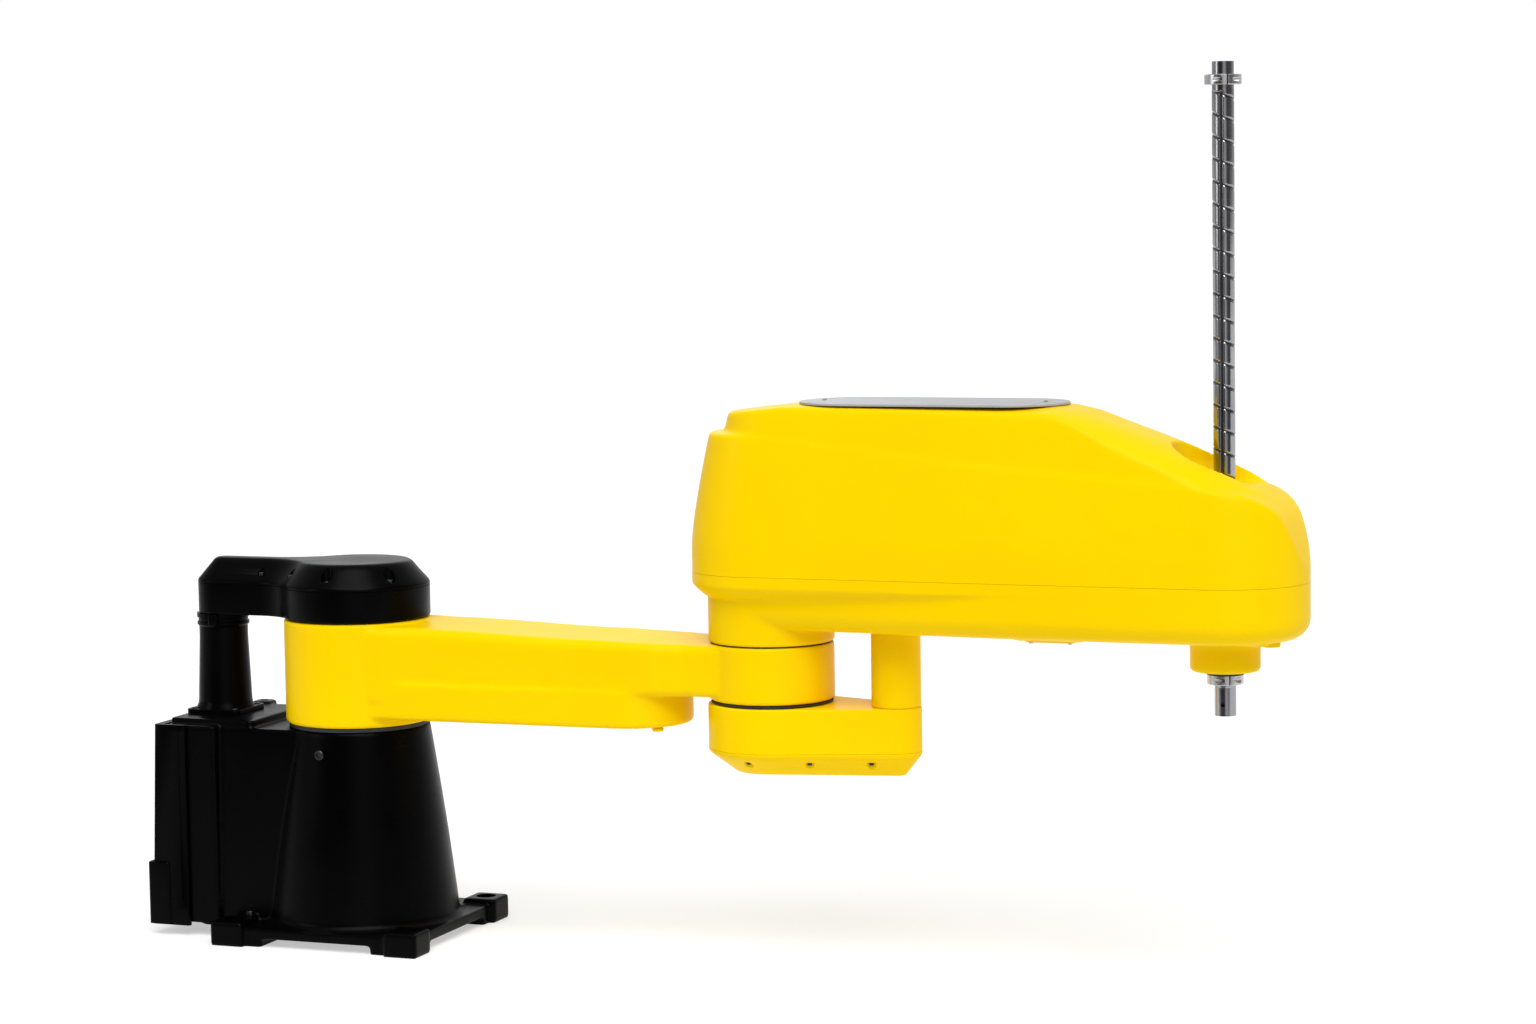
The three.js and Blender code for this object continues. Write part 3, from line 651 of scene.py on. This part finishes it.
def shoulder_duct():
    housing = block("housing", cap_outline, CAP_LOW, CAP_SEAM, 2.5, 0)
    boolean(housing, [
        prism("inside", cap_outline(4), CAP_LOW + 4, CAP_SEAM + 2),
        cylinder("hub_hole", 0, 0, 48, CAP_LOW - 2, CAP_LOW + 8),
        cylinder("post_hole", POST_1, 0, 22, CAP_LOW - 2, CAP_LOW + 8),
    ])
    piece(housing, "duct_housing_shell", BLACK_TRIM, "base", ["duct_housing"])

    base_z = low("duct_cover", "z")
    chamfer = 26
    rise = CAP_HIGH - CAP_SEAM
    levels = [(cap_outline(0.6), base_z), (cap_outline(0), base_z + 0.6), (cap_outline(0), base_z + 2.5),
              (cap_outline(0.5), base_z + 4.2), (cap_outline(1.6), base_z + 5.8)]
    for i in range(1, 6):
        t = i / 5
        levels.append((cap_outline(1.6 + (chamfer - 6.6) * t), base_z + 5.8 + (rise - 9.3) * t))
    levels += [(cap_outline(chamfer - 2.6), CAP_HIGH - 1.6), (cap_outline(chamfer), CAP_HIGH - 0.4),
               (cap_outline(chamfer + 3), CAP_HIGH)]
    cover = loft("cover", levels)
    dimples = [cylinder("dimple", x, y, 7.5, CAP_SEAM + 8, CAP_HIGH + 5, 40) for x, y in CAP_SCREWS]
    dimples += [cylinder("dimple", x, y, 5.5, CAP_SEAM + 12, CAP_HIGH + 5, 40) for x, y in CAP_DIMPLES]
    hollow = loft("hollow", [(cap_outline(20), base_z - 1), (cap_outline(chamfer), CAP_HIGH - 8)])
    boolean(cover, [hollow, *dimples])
    bevel(cover, 0.7)
    piece(cover, "duct_cover_shell", BLACK_TRIM, "base", ["duct_cover"])
    for i, (x, y) in enumerate(CAP_SCREWS):
        socket_screw(f"cap_screw_{i + 1}", x, y, CAP_SEAM + 8.3, 4.2, "base", DARK_STEEL,
                     [f"duct_cover_screw_{i + 1}"])
    for i, (x, y) in enumerate(CAP_DIMPLES):
        socket_screw(f"cap_tail_screw_{i + 1}", x, y, CAP_SEAM + 12.1, 3.4, "base", DARK_STEEL)


def base_trim():
    plug = turned("plug", [(0, 0), (6, 0), (6, 2.2), (5.2, 3), (3.6, 3), (3.2, 1.2), (0, 1.2)], 40)
    place(plug, turn=(90, "X"))
    place(plug, middle("tower_plug", "x"), high("tower_plug", "y"), middle("tower_plug", "z"))
    piece(plug, "tower_plug_cap", DARK_STEEL, "base", ["tower_plug"])
    ground = "ground_screw"
    socket_screw("ground_bolt", middle(ground, "x"), middle(ground, "y"), low(ground, "z"), 4.5, "base",
                 DARK_STEEL, [ground])


# ------------------------------------------------------------------ first arm
def first_arm():
    top, bottom = HUB_1_HIGH, 280
    upper = beam("upper", [
        (0, 82, 300, 393, 4, 10), (60, 77, 300, 392.5, 4, 11), (110, 71, 300, 392, 4, 12),
        (345, 69.5, 300, 385, 4, 12),
        (372, 68.5, 302, 384, 6, 12), (392, 68, 317, 383.5, 8, 11), (420, 66.5, 319.5, 382.5, 9, 10),
        (440, 63, 319.5, 382, 9, 10), (462, 59.5, 319.5, 381.8, 9, 10), (482, 59.5, 319.5, 381.5, 8, 9),
        (J2, 67, 319.5, 381.5, 8, 9)])
    lower = block("lower", lambda i: capsule(0, 76 - i, 372, 71 - i), bottom - 0.5, 324, 5, 0)
    hub_1 = turned("hub_1",
                   [(0, HUB_1_LOW), (HUB_1_R - 2, HUB_1_LOW), (HUB_1_R, HUB_1_LOW + 2), (HUB_1_R, top - 2),
                             (HUB_1_R - 2, top), (0, top)], 120)
    hub_2_r = 74.5
    hub_2 = turned("hub_2", [(0, 314.5), (hub_2_r - 1, 314.5), (hub_2_r, 315.5), (hub_2_r, 381.5),
                             (hub_2_r - 1, 382.5), (0, 382.5)], 120)
    place(hub_2, J2)
    casting = remesh(join(upper, lower, hub_1, hub_2), 2.0, 12)
    boolean(casting, [
        cylinder("bore_1", 0, 0, 62, HUB_1_LOW - 2, 380, 96),
        cylinder("bore_2", 0, 0, 46, 370, top + 2, 96),
        cylinder("bore_3", J2, 0, 56, 312, 372, 96),
        cylinder("bore_4", J2, 0, 42, 360, 385, 96),
        cuboid("cavity", 20, 400, -40, 40, 304, 362, 6),
        cuboid("neck_cavity", 395, J2 - 20, -40, 40, 330, 362, 6),
    ])
    piece(casting, "link1_casting_body", YELLOW, "link1", ["link1_casting"])
    z = high("link1_plug", "z")
    plug = turned("plug", [(0, z - 4.4), (6.4, z - 4.4), (7.2, z - 3.8), (8, z - 2), (8, z), (0, z)], 6)
    bevel(plug, 0.6)
    place(plug, middle("link1_plug", "x"), middle("link1_plug", "y"))
    piece(plug, "link1_plug_cap", YELLOW_TRIM, "link1", ["link1_plug"])
    seal = turned("seal", [(63, 262.8), (86, 262.8), (87, 263.4), (87, 267.2), (86, 267.7), (63, 267.7)], 96)
    piece(seal, "j1_seal", RUBBER, "link1")


# ------------------------------------------------------------------ second arm
BODY_R = 75
WIDE_X = 850


def second_arm_casting():
    over = SEAM_2 + 12

    def body(inset):
        """Narrow round the elbow, flaring out to the full width a third of the way along."""
        rear, front, half = BODY_R - inset, FRONT_R - inset, 94 - inset
        spread = math.atan2(half - rear, WIDE_X - J2)
        return (arc(J3, 0, front, -math.pi / 2 + 0.02, math.pi / 2 - 0.02, 48) + [(WIDE_X, half)]
                + arc(J2, 0, rear, math.pi / 2 + spread, 1.5 * math.pi - spread, 48) + [(WIDE_X, -half)])

    rounding = 24
    levels = []
    for i in range(11):
        a = math.pi / 2 * i / 10
        levels.append((body(rounding * (1 - math.sin(a))), FLOOR_2 + rounding * (1 - math.cos(a))))
    levels.append((body(0), over))
    lower = loft("lower", levels)
    rim_z = SEAM_2 - 16
    rim = loft("rim", [
        (capsule(J2, REAR_R - 14, J3, FRONT_R - 6), rim_z - 12),
        (capsule(J2, REAR_R - 4, J3, FRONT_R - 3), rim_z - 3),
        (capsule(J2, REAR_R, J3, FRONT_R), rim_z + 2), (capsule(J2, REAR_R, J3, FRONT_R), over)])
    neck = turned("neck", [(0, 384), (BODY_R - 1, 384), (BODY_R, 385), (BODY_R, FLOOR_2 + 24),
                           (0, FLOOR_2 + 24)], 120)
    place(neck, J2)
    boss = turned("boss", [
        (0, BOSS_LOW), (37, BOSS_LOW), (39.2, BOSS_LOW + 1), (40, BOSS_LOW + 3.5), (40, FLOOR_2 - 10),
        (41.5, FLOOR_2 - 4), (45, FLOOR_2 + 2), (0, FLOOR_2 + 2)], 96)
    place(boss, J3)
    pads = [block("pad", lambda i: rounded_box(x0 + i, x1 - i, y0 + i, y1 - i, 5), FLOOR_2 - 2, FLOOR_2 + 10,
                  1, 0)
            for x0, x1, y0, y1 in [(872, 952, -70, 70), (1128, 1160, -58, 58)]]
    casting = remesh(join(lower, rim, neck, boss, *pads), 2.0, 5)
    slice_off(casting, SEAM_2, keep_above=False)
    bm = bmesh.new()
    bm.from_mesh(casting.data)
    bmesh.ops.holes_fill(bm, edges=[e for e in bm.edges if e.is_boundary])
    bm.to_mesh(casting.data)
    bm.free()
    button_x, button_y = middle("brake_release_button", "x"), middle("brake_release_button", "y")
    boolean(casting, [
        prism("cavity", capsule(J2, BODY_R - 6, J3, FRONT_R - 24), FLOOR_2 + 8, SEAM_2 + 5),
        cylinder("j2_bore", J2, 0, 68, 386, 420, 96),
        cylinder("j2_hole", J2, 0, 45, 380, 390, 96),
        cylinder("nut_bore", J3, 0, 29.5, 350, 420, 96),
        cylinder("cable_hole", POST_2, 0, 22, 390, 420),
        cylinder("button_hole", button_x, button_y, 11.2, 390, 420),
    ])
    piece(casting, "arm2_casting_body", YELLOW, "link2", ["arm2_casting"])


LEAN_FROM, LEAN, LEAN_HEIGHT = 500, 27, 145


def cover_lean(z):
    """How far the cover's walls have come in at a height, and how much less they do so on the sides."""
    draft = LEAN * (max(0.0, z - LEAN_FROM) / LEAN_HEIGHT) ** 1.3
    return draft, min(9.5, 0.36 * draft)


def wall_outline(z):
    draft, side = cover_lean(z)
    return capsule(J2 + side, REAR_R - draft + side, J3, FRONT_R - draft + side)


def crown_outline(z):
    """The crown stands a hair inside the walls, but starts well in front of their rear end."""
    draft, side = cover_lean(z)
    half = REAR_R - draft + side - 1.3
    rear = J2 - 50 + max(0.0, z - 636) * 0.25
    return capsule(rear + half, half, J3, FRONT_R - draft + side - 1.3)


def second_arm_cover():
    under = SEAM_2 - 14
    top = CROWN
    nose = [(J3 + 73, 549), (J3 + 86, 520), (J3 + FRONT_R - 2, 492), (J3 + FRONT_R + 4, 470)]
    shoulder = [(J2 - 110, 634), (J2, 632), (820, 601),
                *flowing([(1030, 584), (1110, 577), (1148, 568), *nose], 8)]
    heights = [under, *range(LEAN_FROM, 651, 15)]
    walls = loft("walls", [(wall_outline(z), z) for z in heights])
    boolean(walls, [slab("below", [(J2 - 110, under - 5), *shoulder, (J3 + 120, under - 5)], 130)],
            "INTERSECT")

    crown_top = [(J2 - 110, 655), (J2 - 48, 656), (J2 + 43, top), (915, top),
                 *flowing([(945, top - 6), (1030, top - 36), (1103, top - 66), (1140, 579), *nose], 8)]

    def sag(x, y):
        front = min(1.0, max(0.0, (x - 870) / 120)) * min(1.0, max(0.0, (J3 + 90 - x) / 60))
        return (2 + 22 * front) * (abs(y) / 84) ** 3

    crown = loft("crown", [(crown_outline(z), z) for z in range(LEAN_FROM, 681, 15)])
    boolean(crown, [slab("below", [(J2 - 110, under - 5), *crown_top, (J3 + 120, under - 5)], 130, sag)],
            "INTERSECT")
    skin = remesh(join(walls, crown), 2.0, 30)

    floor = 578

    def slot(half, rear):
        return ([(J3 - 20 + rear * math.cos(a), half * math.sin(a))
                 for a in (math.pi * (0.5 + i / 40) for i in range(41))] + [(J3 + 140, -half),
                                                                            (J3 + 140, half)])

    boolean(skin,
            [loft("pocket", [(slot(34, 26), floor), (slot(40, 32), floor + 8), (slot(47, 38), floor + 22),
                                   (slot(52, 42), 720)])])
    skin = remesh(skin, 2.0, 3)
    slice_off(skin, low("arm2_cover", "z"), keep_above=True)
    thicken(skin, 4)
    boolean(skin, [cylinder("quill_hole", J3, 0, 16, floor - 20, floor + 10, 64)])
    piece(skin, "arm2_cover_shell", YELLOW, "link2", ["arm2_cover"])
    collar = turned("collar", [(13.2, floor - 2), (15.9, floor - 2), (15.9, floor + 0.6), (15, floor + 1),
                               (13.2, floor + 1)], 64)
    place(collar, J3)
    piece(collar, "quill_wiper", RUBBER, "link2")


def top_plate():
    half = high("top_plate", "y")
    xa, xb = low("top_plate", "x") + half, high("top_plate", "x") - half
    z0, z1 = low("top_plate", "z"), high("top_plate", "z")
    plate = block("plate", lambda i: capsule(xa, half - i, xb, half - i), z0, z1, 0.3, 1.0)
    screws = [middle(f"top_plate_screw_{i}", "x") for i in (1, 2)]
    grooves = [cuboid("groove", x - 0.4, x + 0.4, -half, half, z1 - 0.8, z1 + 2, 0.2) for x in screws]
    boolean(plate, grooves)
    piece(plate, "top_plate_panel", GREY, "link2", ["top_plate"])
    for i, x in enumerate(screws):
        node = f"top_plate_screw_{i + 1}"
        socket_screw(f"panel_screw_{i + 1}", x, 0, low(node, "z"), 2.5, "link2", BRIGHT,
                     [node],
                     height=1.6)


def under_details():
    x0, x1 = low("access_cover", "x"), high("access_cover", "x")
    half = high("access_cover", "y")
    z0, z1 = low("access_cover", "z"), high("access_cover", "z")
    cover = block("cover", lambda i: rounded_box(x0 + i, x1 - i, -half + i, half - i, 8), z0 + 0.3, z1, 1.2,
                  0)
    piece(cover, "access_cover_plate", YELLOW_TRIM, "link2", ["access_cover"])
    for i, (x, y) in enumerate([(x0 + 7, -half + 7), (x1 - 7, -half + 7), (x1 - 7, half - 7),
                                (x0 + 7, half - 7)]):
        socket_screw(f"access_screw_{i + 1}", x, y, z0 + 0.2, 2.8, "link2", BRIGHT, up=-1,
                     height=1.6)
    seal = "boss_seal"
    z0, z1, r = low(seal, "z"), high(seal, "z"), high(seal, "y")
    ring = turned("ring", [(14.5, z0 + 0.8), (16, z0), (r - 1, z0), (r, z0 + 1), (r, z1), (14.5, z1)], 72)
    place(ring, J3)
    piece(ring, "boss_seal_ring", RUBBER, "link2", [seal])
    node = "brake_release_button"
    z0, z1, r = low(node, "z"), high(node, "z"), (high(node, "x") - low(node, "x")) / 2
    button = turned("button",
                    [(0, z0 + 0.6), (r * 0.6, z0 + 0.2), (r - 1.4, z0), (r - 0.5, z0 + 0.4), (r, z0 + 1.3),
                               (r, z1), (0, z1)], 64)
    place(button, middle(node, "x"), middle(node, "y"))
    piece(button, "brake_button_cap", YELLOW_TRIM, "button", [node])


ELBOW_SCREWS = [(543, -62), (614, -48), (684, -29), (543, 62), (614, 48), (684, 29)]


def elbow_duct():
    hub_r = high("elbow_duct_housing", "y")
    tail_r = high("elbow_duct_housing", "x") - POST_2

    def outline(inset):
        return capsule(J2, hub_r - inset, POST_2, tail_r - inset)

    housing = block("housing", outline, ELBOW_SEAM, ELBOW_HIGH, 0, 2.5)
    boolean(housing, [
        prism("inside", outline(4), ELBOW_SEAM - 2, ELBOW_HIGH - 4),
        cylinder("hub_hole", J2, 0, 50, ELBOW_HIGH - 8, ELBOW_HIGH + 2, 96),
        cylinder("post_hole", POST_2, 0, 22, ELBOW_HIGH - 8, ELBOW_HIGH + 2),
    ])
    piece(housing, "elbow_housing_shell", YELLOW_TRIM, "link2", ["elbow_duct_housing"])

    top = high("elbow_duct_cover", "z")

    def under(depth):
        return capsule(J2, hub_r - 32 * depth, POST_2, tail_r - 19 * depth)

    levels = [(under(1.1), ELBOW_LOW), (under(1.0), ELBOW_LOW + 0.5), (under(0.93), ELBOW_LOW + 2.2)]
    for i in range(1, 6):
        t = i / 5
        levels.append((under(0.93 - 0.88 * t), ELBOW_LOW + 2.2 + (top - ELBOW_LOW - 7.2) * t))
    levels += [(under(0.01), top - 2.8), (under(0), top - 0.6), (under(0.015), top)]
    cover = loft("cover", levels)
    dimples = [cylinder("dimple", x, y, 5.4, ELBOW_LOW - 4, 247, 40) for x, y in ELBOW_SCREWS]
    hollow = loft("hollow", [(under(1), ELBOW_LOW + 7), (under(0.5), top + 1)])
    boolean(cover, [hollow, *dimples])
    bevel(cover, 0.5)
    piece(cover, "elbow_cover_shell", YELLOW_TRIM, "link2", ["elbow_duct_cover"])
    for i, (x, y) in enumerate(ELBOW_SCREWS):
        node = f"elbow_screw_{i + 1}"
        socket_screw(f"elbow_bolt_{i + 1}", x, y, high(node, "z"), 2.8, "link2", DARK_STEEL,
                     [node],
                     up=-1)

    z0, z1 = low("elbow_duct_post", "z"), high("elbow_duct_post", "z")
    r = (high("elbow_duct_post", "x") - low("elbow_duct_post", "x")) / 2
    post = turned("post", [(22, z0), (r - 0.8, z0), (r, z0 + 0.8), (r, z1 - 4), (r + 3, z1), (22, z1)], 72)
    place(post, POST_2)
    piece(post, "elbow_post_tube", YELLOW_TRIM, "link2", ["elbow_duct_post"])
    for name, z, height in (("j2_lower_seal", 311.8, 2.2), ("j2_upper_seal", 382.8, 0.9)):
        ring = turned("ring", [(57, z), (72.6, z), (72.6, z + height), (57, z + height)], 96)
        place(ring, J2)
        piece(ring, name, RUBBER, "link2")


# ------------------------------------------------------------------ quill
LEAD = 25
FLUTES = 3
FLUTE_AT = math.radians(-87)


def quill():
    """The ball-screw spline: one helical ball groove and three straight ones, cut into a polished shaft."""
    z0, z1 = low("quill_shaft", "z"), high("quill_shaft", "z")
    r = 12.5
    around, step = 120, 1.0
    plain_low, plain_high = z0 + 34, z1 - 32
    rows = int((z1 - z0) / step)
    verts = []
    for k in range(rows + 1):
        z = z0 + (z1 - z0) * k / rows
        ends = min(1.0, max(0.0, (z - plain_low) / 3), max(0.0, (plain_high - z) / 3))
        for i in range(around):
            a = 2 * math.pi * i / around
            lag = ((z - z0) / LEAD + a / (2 * math.pi) + 0.25) % 1.0
            across = (min(lag, 1 - lag)) * LEAD * 0.85
            depth = 0.9 * math.exp(-(across / 1.1) ** 4)
            turn = ((a - FLUTE_AT) * FLUTES / (2 * math.pi)) % 1.0
            side = min(turn, 1 - turn) / FLUTES * 2 * math.pi * r
            depth = max(depth, 1.3 * math.exp(-(side / 1.9) ** 4))
            rr = (r - 0.15 if ends == 0 else r) - depth * ends
            verts.append((J3 + rr * math.cos(a), rr * math.sin(a), z))
    faces = []
    for k in range(rows):
        for i in range(around):
            j = (i + 1) % around
            faces.append([k * around + i, k * around + j, (k + 1) * around + j, (k + 1) * around + i])
    faces += [list(range(around))[::-1], [rows * around + i for i in range(around)]]
    shaft = new_object("shaft", verts, faces)
    boolean(shaft, [
        place(cylinder("set_hole", 0, 0, 2.6, 0, 30, 32), J3, -5, z0 + 13, (90, "X")),
        cylinder("end_hole", J3, 0, 5.5, z0 - 5, z0 + 12, 48),
        cylinder("end_hole", J3, 0, 5.5, z1 - 12, z1 + 5, 48),
    ])
    piece(shaft, "quill_spline_shaft", STEEL, "quill", ["quill_shaft"], sharp=40)
    # Faces deep in the grooves take the darker steel: partly oil, partly painted shade in the grooves.
    shaft.data.materials.append(GROOVE_STEEL_OILED_AND_SHADED)
    for face in shaft.data.polygons:
        if math.hypot(face.center.x - J3 * MM, face.center.y) < (r - 0.45) * MM:
            face.material_index = 1
    for node in ("top_collar", "bottom_collar"):
        clamp_collar(node)


def clamp_collar(node):
    z0, z1 = low(node, "z"), high(node, "z")
    r = (high(node, "y") - low(node, "y")) / 2
    height = z1 - z0
    ring = turned("ring", [(12.9, 0.5), (13.4, 0), (r - 1.0, 0), (r - 0.2, 0.8), (r - 0.2, height - 0.8),
                           (r - 1.0, height), (13.4, height), (12.9, height - 0.5)], 72)
    slit = cuboid("slit", 10, r + 5, -0.8, 0.8, -2, height + 2, 0.2)
    holes = [place(cylinder("screw_hole", 0, 0, 3.1, 0, 20, 32), 17, side * 4, height / 2, (90 * -side, "X"))
             for side in (-1, 1)]
    boolean(ring, [slit, *holes])
    for obj in (ring,):
        place(obj, turn=(-62, "Z"))
        place(obj, J3, 0, z0)
    piece(ring, node + "_clamp", BRIGHT, "quill", [node], sharp=30)


# ------------------------------------------------------------------ CAD nodes that stay, with their finish
KEPT = {
    "cast_aluminium": (ALUMINIUM, ["j1_reducer_case", "j1_cable_ring", "j2_reducer_case", "j3_motor_bracket",
                                   "j4_motor_bracket", "ball_nut_support", "j3_motor_pulley",
                                   "j4_motor_pulley",
                                   "j4_driven_pulley", "j3_driven_pulley"]),
    "polished_steel": (BRIGHT, ["j1_output_flange", "j2_output_flange", "spline_nut", "ball_nut"]),
    "motor_black": (MOTOR_BLACK, ["j1_motor", "j2_motor", "j3_motor", "j4_motor"]),
    "dark_steel": (DARK_STEEL, ["j3_brake"]),
    "rubber": (RUBBER, ["base_harness", "elbow_harness", "j3_belt", "j4_belt"]),
}


def finish_kept_nodes():
    for material, nodes in KEPT.values():
        for node in nodes:
            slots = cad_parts[node].material_slots
            for holder in slots:
                holder.link = "OBJECT"
                holder.material = material


# ------------------------------------------------------------------ studio
YAW, PITCH, ROLL = 21.13, 5.24, -0.89
TARGET = Vector((0.54785, 0.0, 0.53589))
DISTANCE = 4.32957
LENS = 85.83


def studio_walls(tree, background):
    """Light walls with two dark flags, which give polished metal its dark and bright bands."""
    place_of = tree.nodes.new("ShaderNodeTexCoord")
    split = tree.nodes.new("ShaderNodeSeparateXYZ")
    angle = tree.nodes.new("ShaderNodeMath")
    angle.operation = "ARCTAN2"
    turn = tree.nodes.new("ShaderNodeMapRange")
    turn.inputs["From Min"].default_value = -math.pi
    turn.inputs["From Max"].default_value = math.pi
    bands = tree.nodes.new("ShaderNodeValToRGB")
    stops = [(0.0, 0.42), (0.11, 0.36), (0.17, 0.04), (0.27, 0.03), (0.3, 0.6), (0.35, 0.6), (0.4, 0.1),
             (0.53, 0.14),
             (0.62, 0.5), (0.72, 0.8), (0.8, 0.8), (0.92, 0.5)]
    ramp = bands.color_ramp
    while len(ramp.elements) < len(stops):
        ramp.elements.new(0.5)
    for element, (at, level) in zip(ramp.elements, stops):
        element.position = at
        element.color = (level, level, level * 1.02, 1)
    tree.links.new(place_of.outputs["Generated"], split.inputs["Vector"])
    tree.links.new(split.outputs["Y"], angle.inputs[0])
    tree.links.new(split.outputs["X"], angle.inputs[1])
    tree.links.new(angle.outputs["Value"], turn.inputs["Value"])
    tree.links.new(turn.outputs["Result"], bands.inputs["Fac"])
    below = tree.nodes.new("ShaderNodeMapRange")
    for key, value in (("From Min", -0.2), ("From Max", -0.4), ("To Min", 0.0), ("To Max", 1.0)):
        below.inputs[key].default_value = value
    lit = tree.nodes.new("ShaderNodeMix")
    lit.data_type = "RGBA"
    lit.inputs[7].default_value = (0.7, 0.7, 0.7, 1)
    tree.links.new(split.outputs["Z"], below.inputs["Value"])
    tree.links.new(below.outputs["Result"], lit.inputs["Factor"])
    tree.links.new(bands.outputs["Color"], lit.inputs[6])
    tree.links.new(lit.outputs[2], background.inputs["Color"])


def studio():
    scene = bpy.context.scene
    scene.view_settings.view_transform = "Standard"
    yaw, pitch, roll = (math.radians(a) for a in (YAW, PITCH, ROLL))
    back = Vector((math.sin(yaw) * math.cos(pitch), -math.cos(yaw) * math.cos(pitch), math.sin(pitch)))
    right = Vector((0, 0, 1)).cross(back).normalized()
    up = back.cross(right)
    tilted_right = right * math.cos(roll) + up * math.sin(roll)
    tilted_up = up * math.cos(roll) - right * math.sin(roll)
    camera = bpy.data.objects.new("camera", bpy.data.cameras.new("camera"))
    camera.data.lens = LENS
    camera.data.sensor_width = 36
    camera.matrix_world = Matrix.Translation(TARGET + back * DISTANCE) @ Matrix(
        (tilted_right, tilted_up, back)).transposed().to_4x4()
    scene.collection.objects.link(camera)
    scene.camera = camera

    floor = new_object("floor",
                       [(-40000, -1200, 0), (40000, -1200, 0), (40000, 60000, 0), (-40000, 60000, 0)],
                       [[0, 1, 2, 3]])
    matt = Nodes("floor_white")
    matt.link(matt.ramp(matt.noise(2.0), [(0.2, (0.5, 0.5, 0.5)), (0.8, (0.52, 0.52, 0.52))]),
              matt.shader.inputs["Base Color"])
    matt.set(Roughness=0.9, Emission_Color=(1, 1, 1, 1), Emission_Strength=0.5)
    floor.data.materials.append(matt.material)

    sun = bpy.data.lights.new("sun", "SUN")
    sun.energy = 2.7
    sun.angle = math.radians(50)
    holder = bpy.data.objects.new("sun", sun)
    holder.rotation_euler = Vector((-0.22, 0.6, -1.0)).to_track_quat("-Z", "Y").to_euler()
    scene.collection.objects.link(holder)
    for name, place_at, aim, size, power in [
            ("key", (2.4, -3.0, 2.6), (0.7, 0, 0.4), 1.6, 26),
            ("fill", (-2.8, -2.6, 1.4), (0.2, 0, 0.4), 1.2, 12),
            ("back", (-1.5, 3.2, 2.2), (0.3, 0, 0.4), 2.0, 12)]:
        light = bpy.data.lights.new(name, "AREA")
        light.shape = "SQUARE"
        light.size = size
        light.energy = power
        holder = bpy.data.objects.new(name, light)
        holder.location = place_at
        holder.rotation_euler = (Vector(aim) - Vector(place_at)).to_track_quat("-Z", "Y").to_euler()
        scene.collection.objects.link(holder)

    world = bpy.data.worlds.new("studio")
    world.use_nodes = True
    tree = world.node_tree
    background = tree.nodes["Background"]
    studio_walls(tree, background)
    background.inputs["Strength"].default_value = 1.0
    seen = tree.nodes.new("ShaderNodeBackground")
    seen.inputs["Color"].default_value = (1, 1, 1, 1)
    path = tree.nodes.new("ShaderNodeLightPath")
    mix = tree.nodes.new("ShaderNodeMixShader")
    tree.links.new(path.outputs["Is Camera Ray"], mix.inputs["Fac"])
    tree.links.new(background.outputs["Background"], mix.inputs[1])
    tree.links.new(seen.outputs["Background"], mix.inputs[2])
    tree.links.new(mix.outputs["Shader"], tree.nodes["World Output"].inputs["Surface"])
    scene.world = world


studio()
base_casting()
connector_covers()
connectors()
duct_post()
shoulder_duct()
base_trim()
first_arm()
second_arm_casting()
second_arm_cover()
top_plate()
under_details()
elbow_duct()
quill()
finish_kept_nodes()
